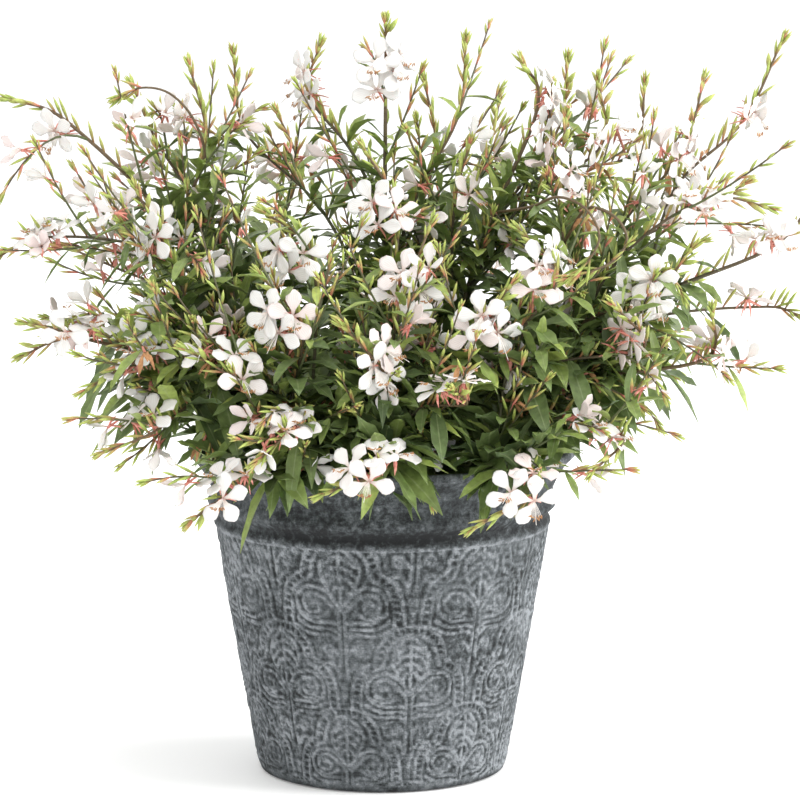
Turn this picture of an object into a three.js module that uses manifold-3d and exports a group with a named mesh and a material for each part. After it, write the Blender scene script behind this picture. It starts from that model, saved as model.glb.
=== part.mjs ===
// Potted gaura: a bushy perennial whose long arching wands carry white, butterfly-like blooms,
// planted in a weathered, flared pot. Millimetres, +Z up. The origin is the middle of the pot's
// foot, and the front of the plant looks along -Y.
import * as THREE from 'three';
import { mergeVertices } from 'three/addons/utils/BufferGeometryUtils.js';
import Module from 'manifold-3d';

const wasm = await Module();
wasm.setup();

// Pot: outside and inside outlines as [radius, height], from the foot to the rim.
const POT_SIDES = 24;
const POT_FLOOR = 8;
const POT_OUTSIDE = [
  [61.5, 0], [65.8, 4], [85.9, 115], [88.2, 133], [87.3, 136],
  [91.8, 143], [89.9, 149], [94.1, 159], [101.6, 168.5], [101.2, 172],
];
const POT_INSIDE = [[97, 172], [84.5, 152], [81, 134], [59, POT_FLOOR]];

// Soil: a root ball that fills the pot, with a plain hole for each stem.
const SOIL_GAP = 0.4;
const SOIL_EDGE = 147;
const SOIL_CROWN = 152;
const HOLE_DEPTH = 24;
const HOLE_SIDES = 6;
const HOLE_GAP = 0.4;

// Stems and wands.
const ROOT_SPREAD = 0.3;
const ROOT_REACH = 62;
const ROOT_RISE = 14;
const STEM_RADIUS = 2.2;
const WAND_RADIUS = 1.15;
const TIP_RADIUS = 0.6;
const WAND_SIDES = 3;
const WAND_TAPER = 0.8;
const WAND_ARCH = 0.14;
const WAND_HOLD_BACK = 0.06;
const NUDGE = 7;

// Blooms: four petals on a long slender floral tube.
const BLOOM_AT = 0.75;
const BLOOM_STEP = 6;
const BLOOM_SPLAY = THREE.MathUtils.degToRad(58);
const BLOOM_SPREAD = THREE.MathUtils.degToRad(46);
const TUBE_LENGTH = 8.5;
const TUBE_RADIUS = 1;
const PETAL_LENGTH = 13.5;
const PETAL_HALF_WIDTH = 4.3;
const PETAL_WIDEST = 8.6;
const PETAL_CUP = 2.2;
const BLOOM_HALF_DEPTH = 1.15;
const PETAL_ANGLES = [-107, -37, 37, 107].map(THREE.MathUtils.degToRad);
const NOTCH_ANGLES = [-72, 0, 72, 180].map(THREE.MathUtils.degToRad);
const NOTCH_RADIUS = 1.7;
const PETAL_AIM = Math.cos(THREE.MathUtils.degToRad(20));
const TUBE_SEAT = 3;
const BLOOM_JOINT = 0.15;

// Buds and leaves.
const SIDE_BUDS = [2, 1, 1, 1, 1];
const BUD_AT = 0.9;
const BUD_STEP = 0.05;
const BUD_LENGTH = 11.5;
const BUD_RADIUS = 1.5;
const BUD_SPLAY = THREE.MathUtils.degToRad(33);
const LEAF_LENGTH = 41;
const LEAF_ASPECT = 0.25;
const LEAF_KEEL = 1.1;
const LEAF_SPLAY = THREE.MathUtils.degToRad(62);
const MAIN_LEAVES = 9;
const BRANCH_LEAVES = 2;
const MAIN_LEAVES_FROM = 0.14;
const BRANCH_LEAVES_FROM = 0.2;
const LEAVES_TO = 0.62;
const GOLDEN = Math.PI * (3 - Math.sqrt(5));

// Places along a wand where its round is measured: its end bud takes up the last of it.
const BRANCH_STATIONS = [0, 0.3, 0.6, 0.9];
const MAIN_STATIONS = [0, 0.22, 0.34, 0.42, 0.51, 0.63, 0.75, 0.9];
const END_BUD = [[0.95, BUD_RADIUS], [1, 0]];

// The least gap between two pieces that are not one, and the step that corners are rounded to.
const GAP = 0.32;
const ROUNDING = 1e-3;

// Each stem is a list of wands, and the first is its main axis. A wand is where its blooms sit
// [x, y, z], where its tip ends [x, y, z], and how many blooms it has open.
const STEMS = [
  // Left, high.
  [
    [[-160, -18, 342], [-193, -20, 356], 2],
    [[-118, 30, 328], [-132, 32, 360], 1],
    [[-173, -38, 286], [-204, -42, 272], 3],
    [[-92, 5, 338], [-101, 10, 373], 1],
  ],
  // Left front.
  [
    [[-152, -68, 238], [-181, -70, 246], 3],
    [[-117, -88, 231], [-150, -101, 215], 3],
    [[-113, -106, 196], [-140, -114, 186], 2],
    [[-110, -58, 283], [-126, -50, 314], 3],
  ],
  // Front left, low.
  [
    [[-72, -130, 170], [-95, -136, 155], 3],
    [[-46, -129, 198], [-62, -147, 186], 3],
    [[-70, -112, 222], [-98, -119, 240], 2],
    [[-40, -107, 250], [-62, -103, 276], 3],
    [[-36, -81, 284], [-60, -77, 304], 3],
  ],
  // Front, in the middle.
  [
    [[0, -139, 181], [-30, -139, 169], 4],
    [[0, -123, 230], [-20, -134, 254], 4],
    [[10, -97, 258], [26, -77, 300], 3],
    [[42, -123, 212], [34, -147, 224], 3],
    [[8, -48, 299], [-10, -44, 334], 3],
  ],
  // Front right, low.
  [
    [[78, -132, 172], [44, -141, 152], 4],
    [[120, -103, 194], [104, -128, 178], 3],
    [[48, -107, 246], [66, -108, 272], 3],
    [[88, -99, 272], [68, -84, 296], 4],
    [[131, -95, 236], [114, -114, 262], 3],
  ],
  // Right front.
  [
    [[163, -77, 228], [166, -92, 256], 3],
    [[138, -70, 262], [158, -75, 286], 3],
    [[164, -48, 306], [200, -46, 302], 3],
    [[91, -45, 308], [95, -28, 350], 3],
  ],
  // Right, high.
  [
    [[199, -18, 277], [222, -8, 298], 3],
    [[200, 12, 244], [221, -4, 240], 1],
    [[154, -28, 328], [167, -12, 367], 3],
    [[188, 4, 342], [209, 2, 387], 2],
  ],
  // Top, right of the middle.
  [
    [[80, -20, 350], [72, -24, 376], 4],
    [[92, 26, 335], [98, 32, 374], 0],
    [[114, -2, 330], [112, -4, 366], 1],
    [[132, 38, 322], [140, 48, 361], 2],
    [[38, -20, 304], [46, -14, 334], 1],
  ],
  // Top, left of the middle.
  [
    [[2, -8, 368], [2, -12, 396], 4],
    [[28, 34, 322], [22, 42, 363], 1],
    [[40, 12, 345], [44, 20, 385], 0],
    [[-38, -2, 357], [-32, 2, 383], 4],
    [[-72, 36, 334], [-79, 42, 377], 0],
  ],
  // Back right.
  [
    [[150, 89, 238], [176, 101, 252], 2],
    [[118, 118, 200], [138, 134, 184], 2],
    [[104, 94, 282], [124, 110, 306], 3],
    [[70, 134, 232], [92, 151, 244], 2],
    [[168, 52, 290], [196, 58, 306], 2],
  ],
  // Back, in the middle.
  [
    [[22, 149, 190], [42, 161, 172], 2],
    [[-22, 134, 236], [-40, 151, 254], 3],
    [[26, 101, 286], [18, 120, 316], 2],
    [[56, 74, 318], [64, 91, 350], 1],
    [[-66, 149, 176], [-92, 151, 160], 2],
  ],
  // Back left.
  [
    [[-118, 110, 214], [-142, 125, 200], 2],
    [[-140, 58, 258], [-170, 79, 268], 3],
    [[-84, 101, 262], [-104, 115, 288], 2],
    [[-46, 79, 310], [-58, 94, 342], 2],
    [[-164, 24, 226], [-192, 24, 216], 2],
  ],
];
const OWN_NODE_BLOOMS = 2;
const BRANCH_POINTS = [0.34, 0.42, 0.51, 0.38, 0.46];

const COLOURS = {
  pot: { color: 0x7c8287, roughness: 0.92, metalness: 0 },
  soil: { color: 0x3b2d23, roughness: 1, metalness: 0 },
  stem: { color: 0x5b7a3c, roughness: 0.6, metalness: 0 },
  bloom: { color: 0xf6f1ef, roughness: 0.55, metalness: 0 },
};

// A repeatable number from 0 to 1 for whole-number keys.
function draw(...keys) {
  let h = 0x9e3779b9;
  for (const key of keys) {
    h = Math.imul(h ^ (key + 0x7f4a7c15), 0x85ebca6b);
    h ^= h >>> 13;
    h = Math.imul(h, 0xc2b2ae35);
    h ^= h >>> 16;
  }
  return (h >>> 0) / 4294967296;
}

const vec = (x, y, z) => new THREE.Vector3(x, y, z);

// The sum of vectors, each times its own number.
function mix(...pairs) {
  const sum = vec(0, 0, 0);
  for (const [v, k] of pairs) sum.addScaledVector(v, k);
  return sum;
}

// A solid turned about Z from [radius, height] pairs, each corner then moved by place(x, y, z).
function shaped(profile, sides, place) {
  const turned = new THREE.LatheGeometry(profile.map(([r, h]) => new THREE.Vector2(r, h)), sides);
  turned.rotateX(Math.PI / 2);
  turned.deleteAttribute('normal');
  turned.deleteAttribute('uv');
  const merged = mergeVertices(turned, 1e-4);
  const corners = new Float32Array(merged.attributes.position.array);
  const at = vec(0, 0, 0);
  for (let i = 0; place && i < corners.length; i += 3) {
    place(at.fromArray(corners, i)).toArray(corners, i);
  }
  const faces = [];
  const index = merged.index.array;
  for (let i = 0; i < index.length; i += 3) {
    const [a, b, c] = index.slice(i, i + 3);
    if (a !== b && b !== c && c !== a) faces.push(a, b, c);
  }
  return closed(corners, new Uint32Array(faces));
}

// A manifold solid from corners and faces, turned to face outwards.
function closed(vertProperties, triVerts) {
  const made = new wasm.Manifold(new wasm.Mesh({ numProp: 3, vertProperties, triVerts }));
  if (made.volume() > 0) return made;
  return new wasm.Manifold(new wasm.Mesh({ numProp: 3, vertProperties, triVerts: triVerts.reverse() }));
}

// Every solid that stands in the plant so far, with the node that it belongs to.
const placed = [];

function stand(solid, owner) {
  placed.push({ solid, owner, box: solid.boundingBox() });
}

function boxesMeet(a, b) {
  return [0, 1, 2].every((k) => a.min[k] < b.max[k] + GAP && b.min[k] < a.max[k] + GAP);
}

// Whether a solid keeps its gap to everything that belongs to another node.
function isClear(solid, owner) {
  const box = solid.boundingBox();
  return placed.every((other) => other.owner === owner
    || !boxesMeet(box, other.box)
    || solid.minGap(other.solid, 2 * GAP) >= GAP);
}

// The first solid of several tries that is clear of other nodes, with its try, or null.
function firstClear(tries, owner, make) {
  for (const way of tries) {
    const solid = make(way);
    if (isClear(solid, owner)) return { way, solid };
    solid.delete();
  }
  return null;
}

// A wand's middle line: straight between its stations, which lie on a curve through its points.
class Wand {
  constructor(points, stations) {
    const curve = new THREE.CatmullRomCurve3(points, false, 'catmullrom', 0.5);
    const reach = mix([points.at(-1), 1], [points[0], -1]);
    this.side = vec(-reach.y, reach.x, 0).normalize();
    this.stations = stations;
    this.corners = [...stations, ...END_BUD.map(([t]) => t)].map((t) => [t, curve.getPoint(t)]);
  }

  at(t) {
    const held = THREE.MathUtils.clamp(t, 0, 1);
    const k = Math.max(1, this.corners.findIndex(([end]) => end >= held));
    const [[from, a], [to, b]] = [this.corners[k - 1], this.corners[k]];
    return a.clone().lerp(b, (held - from) / (to - from));
  }

  along(t) {
    const step = 0.01;
    return mix([this.at(t + step), 1], [this.at(t - step), -1]).normalize();
  }

  speed(t) {
    const step = 0.01;
    return this.at(t + step).distanceTo(this.at(t - step)) / (2 * step);
  }

  // Two directions square to the wand, the first as near as can be to `towards`.
  across(t, towards) {
    const along = this.along(t);
    const first = mix([towards, 1], [along, -along.dot(towards)]).normalize();
    return [first, along.clone().cross(first)];
  }
}

// A tapered round through rings, each [centre, radius, direction across, other direction].
function tapered(rings, sides) {
  const profile = [[0, 0], ...rings.map(([, radius], i) => [radius, i]), [0, rings.length - 1]];
  return shaped(profile, sides, (p) => {
    const [centre, , first, second] = rings[Math.round(p.z)];
    return mix([centre, 1], [first, p.x], [second, p.y]);
  });
}

function wandSolid(wand, base, root) {
  const rounds = wand.stations.map((t) => [t, THREE.MathUtils.lerp(base, TIP_RADIUS, t ** WAND_TAPER)]);
  const rings = [...rounds, ...END_BUD].map(([t, r]) => [wand.at(t), r, ...wand.across(t, wand.side)]);
  if (root) {
    const [, radius, first] = rings[0];
    const flat = vec(first.x, first.y, 0).normalize();
    const turned = vec(-flat.y, flat.x, 0);
    rings[0] = [rings[0][0], radius, flat, turned];
    rings.unshift([root, radius, flat, turned]);
  }
  return tapered(rings, WAND_SIDES);
}

// Where a stem stands in the soil: under the middle of its wands, nearer the pot's axis.
function rootOf(wands) {
  const [x, y] = wands[0][0];
  const reach = Math.hypot(x, y) * ROOT_SPREAD;
  const held = Math.min(1, ROOT_REACH / reach) * ROOT_SPREAD;
  return vec(x * held, y * held, soilHeight(Math.hypot(x * held, y * held)));
}

function soilHeight(radius) {
  return THREE.MathUtils.lerp(SOIL_CROWN, SOIL_EDGE, (radius / ROOT_REACH) ** 2);
}

// A wand from a point and a first direction over its middle to its blooms and its tip.
function wandThrough(start, first, bloom, tip, aside, stations) {
  const reach = mix([bloom, 1], [start, -1]);
  const side = vec(-reach.y, reach.x, 0).normalize();
  const flat = Math.hypot(reach.x, reach.y);
  const middle = mix([start, 1], [reach, 0.5], [side, aside]);
  middle.x -= WAND_HOLD_BACK * reach.x;
  middle.y -= WAND_HOLD_BACK * reach.y;
  middle.z += WAND_HOLD_BACK * reach.z + WAND_ARCH * flat;
  return new Wand([start, mix([start, 1], [first, ROOT_RISE]), middle, bloom, tip], stations);
}

const ASIDES = [0, 1, -1, 2, -2, 3, -3, 4, -4].map((k) => k * NUDGE);

// A bud or a floral tube: a slim spindle from a point along a direction.
function spindle(from, direction, length, radius, widest) {
  const across = vec(-direction.y, direction.x, 0.01).normalize();
  const other = direction.clone().cross(across);
  const rings = [[0, 0], [widest, radius], [1, 0]];
  return tapered(rings.map(([s, r]) => [mix([from, 1], [direction, s * length]), r, across, other]), 3);
}

// A bloom: its petals stand round `centre`, square to `facing`, fanned about `up`.
function bloomSolid(centre, facing, up) {
  const outline = PETAL_ANGLES.flatMap((angle, k) => {
    const half = Math.atan2(PETAL_HALF_WIDTH, PETAL_WIDEST);
    const wide = Math.hypot(PETAL_HALF_WIDTH, PETAL_WIDEST);
    return [
      [angle - half, wide, 0.75],
      [angle, PETAL_LENGTH, 1],
      [angle + half, wide, 0.75],
      [NOTCH_ANGLES[k], NOTCH_RADIUS, 0.1],
    ];
  });
  return shaped([[0, -1], [1, 0], [0, 1]], outline.length, (p) => {
    if (Math.abs(p.z) > 0.5) return mix([centre, 1], [facing, p.z * BLOOM_HALF_DEPTH]);
    const turn = Math.atan2(p.y, p.x) / (2 * Math.PI) * outline.length;
    const [angle, radius, lift] = outline[(Math.round(turn) + outline.length) % outline.length];
    return mix([centre, 1], [petalWay({ facing, up }, angle), radius], [facing, lift * PETAL_CUP]);
  });
}

// Where a petal of a bloom points.
function petalWay({ facing, up }, angle) {
  return up.clone().applyAxisAngle(facing, angle);
}

// Whether one of a bloom's petals points at another place, so that the two blooms can touch.
function aims(place, target) {
  const way = mix([target, 1], [place.centre, -1]);
  const flat = mix([way, 1], [place.facing, -way.dot(place.facing)]).normalize();
  return PETAL_ANGLES.some((angle) => petalWay(place, angle).dot(flat) > PETAL_AIM);
}

// A bloom on its floral tube, which starts `clear` away from the middle of the wand.
function flowerSolid({ foot, direction, centre, facing, up }, clear) {
  const from = mix([foot, 1], [direction, clear]);
  const seat = mix([centre, 1], [petalWay({ facing, up }, PETAL_ANGLES[2]), TUBE_SEAT]);
  const way = mix([seat, 1], [from, -1]);
  const length = way.length();
  return spindle(from, way.normalize(), length, TUBE_RADIUS, 0.75).add(bloomSolid(centre, facing, up));
}

const UP = vec(0, 0, 1);

// The ways in which a bloom may sit: swung round the wand, close to the one before, and turned.
const SWINGS = [0, 60, -60, 120, -120, 180];
const SQUEEZES = [1, 0.85, 0.7, 0.55];
const ROLLS = [0, 12, -12, 24, -24, 36, -36, 48, -48, 60, -60, 75, -75, 90, -90, 120, -120, 150];
const POSES = SQUEEZES.flatMap((squeeze) => ROLLS.map((roll) => [squeeze, roll]));

// Where one bloom of a cluster sits: its tube's foot and direction, and its own frame.
function bloomPlace(wand, count, j, [swing, squeeze, roll], key) {
  const t = BLOOM_AT + (j - (count - 1) / 2) * squeeze * BLOOM_STEP / wand.speed(BLOOM_AT);
  const foot = wand.at(t);
  const outward = vec(foot.x, foot.y, 0).normalize().multiplyScalar(0.9).add(vec(0, 0, 0.55));
  const [first, second] = wand.across(t, outward);
  const spread = (j % 2 ? 1 : -1) * BLOOM_SPREAD * squeeze * (0.7 + 0.4 * draw(key, j, 1));
  const turn = spread + THREE.MathUtils.degToRad(swing);
  const away = mix([first, Math.cos(turn)], [second, Math.sin(turn)]);
  const direction = mix([wand.along(t), Math.cos(BLOOM_SPLAY)], [away, Math.sin(BLOOM_SPLAY)]);
  const facing = mix([direction, 1], [first, 0.75]).normalize();
  const level = mix([UP, 1], [facing, -facing.dot(UP)]).normalize();
  const tilt = THREE.MathUtils.degToRad(roll) + 0.7 * (draw(key, j, 2) - 0.5);
  const up = level.applyAxisAngle(facing, tilt);
  const centre = mix([foot, 1], [direction, TUBE_LENGTH], [facing, BLOOM_HALF_DEPTH + GAP + 0.1]);
  return { foot, direction, centre, facing, up };
}

// Pot
stand(shaped([[0, 0], ...POT_OUTSIDE, ...POT_INSIDE, [0, POT_FLOOR]], POT_SIDES), 'pot');

// Soil
const roots = STEMS.map(rootOf);

function insideRadius(height) {
  const wall = [...POT_INSIDE].reverse();
  const k = wall.findIndex(([, z]) => z > height);
  const [[r0, z0], [r1, z1]] = [wall[k - 1], wall[k]];
  return THREE.MathUtils.mapLinear(height, z0, z1, r0, r1);
}

// The lathe's flat sides lie inside its round, so the soil is held in by this much as well.
const FLAT = Math.cos(Math.PI / POT_SIDES);

function soilSolid() {
  const [, , bend, foot] = POT_INSIDE;
  const side = [[foot[0], foot[1] + SOIL_GAP], [bend[0], bend[1]], [insideRadius(SOIL_EDGE), SOIL_EDGE]];
  const profile = [
    [0, POT_FLOOR + SOIL_GAP],
    ...side.map(([r, z]) => [r - SOIL_GAP / FLAT, z]),
    [ROOT_REACH, soilHeight(ROOT_REACH) + 0.5],
    [0, SOIL_CROWN],
  ];
  let body = shaped(profile, POT_SIDES);
  for (const root of roots) {
    const wide = (STEM_RADIUS + HOLE_GAP) / Math.cos(Math.PI / HOLE_SIDES);
    const hole = shaped([[0, 0], [wide, 0], [wide, 2 * HOLE_DEPTH], [0, 2 * HOLE_DEPTH]], HOLE_SIDES);
    body = body.subtract(hole.translate(root.x, root.y, root.z - HOLE_DEPTH));
  }
  return body;
}
stand(soilSolid(), 'soil');

// Wands
const wands = [];
STEMS.forEach((rows, k) => {
  const stem = 'stem_' + String(k + 1).padStart(2, '0');
  let main = null;
  rows.forEach(([bloom, tip, count], j) => {
    const root = roots[k];
    const start = main ? main.at(BRANCH_POINTS[j - 1]) : root;
    const ahead = main ? main.along(BRANCH_POINTS[j - 1]) : UP;
    const stations = main ? BRANCH_STATIONS : MAIN_STATIONS;
    const route = (aside) => wandThrough(start, ahead, vec(...bloom), vec(...tip), aside, stations);
    const found = firstClear(ASIDES, stem, (aside) => (main
      ? wandSolid(route(aside), WAND_RADIUS)
      : wandSolid(route(aside), STEM_RADIUS, mix([root, 1], [UP, HOLE_GAP - HOLE_DEPTH]))));
    if (!found) throw new Error(stem + ' wand ' + j + ' has no clear way');
    const wand = route(found.way);
    main ??= wand;
    stand(found.solid, stem);
    wands.push({ wand, stem, count, key: 10 * (k + 1) + j, main: j === 0 });
  });
});

// Blooms
function overlapOf(a, b) {
  const common = a.intersect(b);
  const volume = common.volume();
  common.delete();
  return volume;
}

// One bloom in one way, joined to its cluster: null where it isn't clear or doesn't touch it.
function flowerTried(wand, count, j, way, key, owner, cluster) {
  const own = count >= OWN_NODE_BLOOMS;
  const place = bloomPlace(wand, count, j, way, key);
  const next = j < count - 1 ? bloomPlace(wand, count, j + 1, way, key).centre : null;
  if (own && next && !aims(place, next)) return null;
  const flower = flowerSolid(place, own ? 1.2 * WAND_RADIUS + GAP : 0);
  if (isClear(flower, owner) && (!own || !cluster || overlapOf(cluster, flower) > BLOOM_JOINT)) {
    return { flower, joined: cluster ? cluster.add(flower) : flower };
  }
  flower.delete();
  return null;
}

let bloomNodes = 0;
for (const { wand, stem, count, key } of wands) {
  const owner = count >= OWN_NODE_BLOOMS ? 'blooms_' + String(++bloomNodes).padStart(2, '0') : stem;
  let cluster = null;
  for (let j = 0; j < count; j++) {
    let best = null;
    for (const swing of SWINGS) {
      for (const way of POSES.map((pose) => [swing, ...pose])) {
        const found = flowerTried(wand, count, j, way, key, owner, cluster);
        if (!found || (best && best.joined.numTri() <= found.joined.numTri())) continue;
        best = found;
      }
      if (best) break;
    }
    if (!best) throw new Error(owner + ' has no clear way for bloom ' + j);
    stand(best.flower, owner);
    cluster = best.joined;
  }
}

// Buds
for (const { wand, stem, key, count } of wands) {
  for (let j = 0; j < SIDE_BUDS[count]; j++) {
    const t = BUD_AT - BUD_STEP * j;
    const found = firstClear([0, 1, -1, 2, -2], stem, (k) => {
      const [first, second] = wand.across(t, UP);
      const turn = GOLDEN * j + k * 0.6 + 6 * draw(key, j, 3);
      const away = mix([first, Math.cos(turn)], [second, Math.sin(turn)]);
      const direction = mix([wand.along(t), Math.cos(BUD_SPLAY)], [away, Math.sin(BUD_SPLAY)]);
      const length = BUD_LENGTH * (0.85 + 0.12 * j + 0.2 * draw(key, j, 4));
      return spindle(wand.at(t), direction, length, BUD_RADIUS, 0.55);
    });
    if (found) stand(found.solid, stem);
  }
}

// Leaves
const LEAF_RINGS = [[0, 0], [0.45, 0.5], [1, 0]];

// A leaf blade whose spine leaves a point and bends down under its own weight.
function leafSolid(from, direction, length, droop) {
  const spine = (s) => mix([from, 1], [direction, s * length], [UP, -droop * s * s * length]);
  const profile = LEAF_RINGS.map(([, wide], i) => [wide ? 1 : 0, i]);
  return shaped(profile, 3, (p) => {
    const [s, wide] = LEAF_RINGS[Math.round(p.z)];
    const along = mix([spine(s + 0.05), 1], [spine(s - 0.05), -1]).normalize();
    const aside = vec(-along.y, along.x, 0).normalize();
    const back = along.clone().cross(aside);
    const half = wide * LEAF_ASPECT * length;
    return mix([spine(s), 1], [aside, p.x * half / 0.866], [back, p.y * LEAF_KEEL / 1.5]);
  });
}

for (const { wand, stem, key, main } of wands) {
  const count = main ? MAIN_LEAVES : BRANCH_LEAVES;
  for (let j = 0; j < count; j++) {
    const share = (j + 0.3 + 0.4 * draw(key, j, 5)) / count;
    const t = THREE.MathUtils.lerp(main ? MAIN_LEAVES_FROM : BRANCH_LEAVES_FROM, LEAVES_TO, share);
    const found = firstClear([0, 1, -1, 2, -2, 3, -3, 4], stem, (k) => {
      const [first, second] = wand.across(t, UP);
      const turn = GOLDEN * (j + 3 * key) + k * 0.7;
      const away = mix([first, Math.cos(turn)], [second, Math.sin(turn)]);
      const direction = mix([wand.along(t), Math.cos(LEAF_SPLAY)], [away, Math.sin(LEAF_SPLAY)]);
      const length = LEAF_LENGTH * (1.12 - 0.5 * t) * (0.85 + 0.3 * draw(key, j, 6));
      return leafSolid(wand.at(t), direction, length, 0.2 + 0.35 * draw(key, j, 7));
    });
    if (found) stand(found.solid, stem);
  }
}

// Whether each edge of a solid still joins just two faces once its corners are rounded.
function isSound(solid) {
  const { vertProperties, triVerts } = solid.getMesh();
  const corner = (i) => vertProperties.subarray(3 * i, 3 * i + 3).map((v) => Math.round(v / ROUNDING)).join();
  const faces = new Map();
  for (let i = 0; i < triVerts.length; i += 3) {
    const names = [...triVerts.subarray(i, i + 3)].map(corner);
    if (new Set(names).size < 3) continue;
    names.forEach((name, k) => {
      const edge = [name, names[(k + 1) % 3]].sort().join(' ');
      faces.set(edge, (faces.get(edge) ?? 0) + 1);
    });
  }
  return [...faces.values()].every((count) => count === 2);
}

// One closed body from all the solids of a node, without a small one that would pinch it.
function fused(owner) {
  const solids = placed.filter((item) => item.owner === owner).map((item) => item.solid);
  return solids.reduce((whole, solid) => {
    const joined = whole.add(solid).simplify(ROUNDING);
    const body = joined.decompose().reduce((a, b) => (a.volume() > b.volume() ? a : b));
    return isSound(body) ? body : whole;
  });
}

function meshOf(name, solid) {
  const { vertProperties, triVerts } = solid.getMesh();
  const geometry = new THREE.BufferGeometry();
  geometry.setAttribute('position', new THREE.BufferAttribute(vertProperties, 3));
  geometry.setIndex(new THREE.BufferAttribute(triVerts, 1));
  const kind = name.startsWith('stem') ? 'stem' : name.startsWith('blooms') ? 'bloom' : name;
  const mesh = new THREE.Mesh(geometry, new THREE.MeshStandardMaterial(COLOURS[kind]));
  mesh.name = name;
  return mesh;
}

const group = new THREE.Group();
for (const owner of new Set(placed.map((item) => item.owner))) {
  group.add(meshOf(owner, fused(owner)));
}

export default group;
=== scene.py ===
"""Potted gaura: long arching wands with white butterfly-like blooms, in a weathered stone-coloured
pot with raised ogee arches, leaves and scrolls. Lengths in the tables are millimetres."""

import math
from itertools import product

import bpy
import numpy as np
from mathutils import Matrix, Vector, kdtree, noise


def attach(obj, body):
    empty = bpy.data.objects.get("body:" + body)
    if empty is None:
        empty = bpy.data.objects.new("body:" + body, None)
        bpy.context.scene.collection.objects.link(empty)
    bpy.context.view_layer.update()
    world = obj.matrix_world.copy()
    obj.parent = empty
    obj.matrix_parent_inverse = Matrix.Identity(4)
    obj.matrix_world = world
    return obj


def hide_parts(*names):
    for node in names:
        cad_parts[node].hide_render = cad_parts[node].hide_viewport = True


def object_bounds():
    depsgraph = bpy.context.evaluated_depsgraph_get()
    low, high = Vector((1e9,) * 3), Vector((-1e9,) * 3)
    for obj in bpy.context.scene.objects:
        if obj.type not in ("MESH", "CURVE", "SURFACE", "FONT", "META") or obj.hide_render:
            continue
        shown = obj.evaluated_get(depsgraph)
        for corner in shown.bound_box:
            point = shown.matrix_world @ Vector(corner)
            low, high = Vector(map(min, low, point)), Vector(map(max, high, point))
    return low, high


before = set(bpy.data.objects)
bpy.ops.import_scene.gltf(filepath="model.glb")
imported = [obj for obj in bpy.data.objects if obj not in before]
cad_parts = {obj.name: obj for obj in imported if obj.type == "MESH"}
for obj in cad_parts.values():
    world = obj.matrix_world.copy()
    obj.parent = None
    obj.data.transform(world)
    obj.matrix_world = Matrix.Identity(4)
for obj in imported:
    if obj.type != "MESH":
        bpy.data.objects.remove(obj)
cad_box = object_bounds()

MM = 0.001
UP = Vector((0, 0, 1))

# Camera, floor and lights

EYE = (9.4, -2100, 504)
EYE_DOWN = 8.34
LENS = 181.7
FILM_WIDTH = 36
FLOOR_SIZE, FLOOR_MIDDLE = 80, (0, 20, 0)
FLOOR_FINISH = {
    "Base Color": (0.99, 0.99, 0.99, 1),
    "Roughness": 0.8,
    "Emission Color": (1, 1, 1, 1),
    "Emission Strength": 0.1,
}

# Each light's name, its place and the place it is aimed at in metres, its width, and its watts.
LIGHTS = [
    ("key", (2.9, -0.25, 1.6), (0, 0, 0.2), 2.2, 124),
    ("top", (0.2, -0.7, 2.4), (0, 0, 0.25), 1.3, 20),
    ("fill", (-0.6, -2.7, 1.1), (0, 0, 0.25), 1.6, 11),
    ("back", (-0.8, 2.0, 1.9), (0, 0, 0.25), 1.6, 12),
]


def studio():
    tilt = math.radians(90 - EYE_DOWN)
    bpy.ops.object.camera_add(location=[v * MM for v in EYE], rotation=(tilt, 0, 0))
    camera = bpy.context.object
    camera.data.lens = LENS
    camera.data.sensor_width = FILM_WIDTH
    bpy.context.scene.camera = camera

    bpy.ops.mesh.primitive_plane_add(size=FLOOR_SIZE, location=FLOOR_MIDDLE)
    floor = bpy.context.object
    floor.name = "floor"
    white = bpy.data.materials.new("pale_floor")
    white.use_nodes = True
    base = white.node_tree.nodes["Principled BSDF"]
    for name, value in FLOOR_FINISH.items():
        base.inputs[name].default_value = value
    floor.data.materials.append(white)

    for name, spot, aim, size, power in LIGHTS:
        bpy.ops.object.light_add(type="AREA", location=spot)
        light = bpy.context.object
        light.name = name
        light.data.size = size
        light.data.energy = power
        light.rotation_euler = (Vector(aim) - Vector(spot)).to_track_quat("-Z", "Y").to_euler()

    world = bpy.data.worlds.new("studio")
    world.use_nodes = True
    sky = world.node_tree.nodes["Background"]
    sky.inputs["Color"].default_value = (1, 1, 1, 1)
    sky.inputs["Strength"].default_value = 1.0
    bpy.context.scene.world = world
    bpy.context.scene.view_settings.view_transform = "Standard"


studio()

# How the plant grows: the same rules as the frame's solids, so that each repeat is found in them

# Stems and wands: how they leave the soil, arch and taper, and the stations that the frame keeps.
ROOT_SPREAD = 0.3
ROOT_REACH = 62
ROOT_RISE = 14
SOIL_EDGE = 147
SOIL_CROWN = 152
HOLE_DEPTH = 24
STEM_RADIUS = 2.2
WAND_RADIUS = 1.15
TIP_RADIUS = 0.6
WAND_TAPER = 0.8
WAND_ARCH = 0.14
WAND_HOLD_BACK = 0.06
NUDGE = 7
ASIDES = [k * NUDGE for k in (0, 1, -1, 2, -2, 3, -3, 4, -4)]
BRANCH_STATIONS = [0, 0.3, 0.6, 0.9]
MAIN_STATIONS = [0, 0.22, 0.34, 0.42, 0.51, 0.63, 0.75, 0.9]
END_BUD_AT = [0.95, 1]
BRANCH_POINTS = [0.34, 0.42, 0.51, 0.38, 0.46]
GAP = 0.32

# How near a corner of the frame is the same one, and how many of them a wand or a bloom has to meet.
SAME_CORNER = 0.02
WAND_CORNERS = 3
BLOOM_CORNERS, SURE_BLOOM_CORNERS = 4, 5

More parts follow.
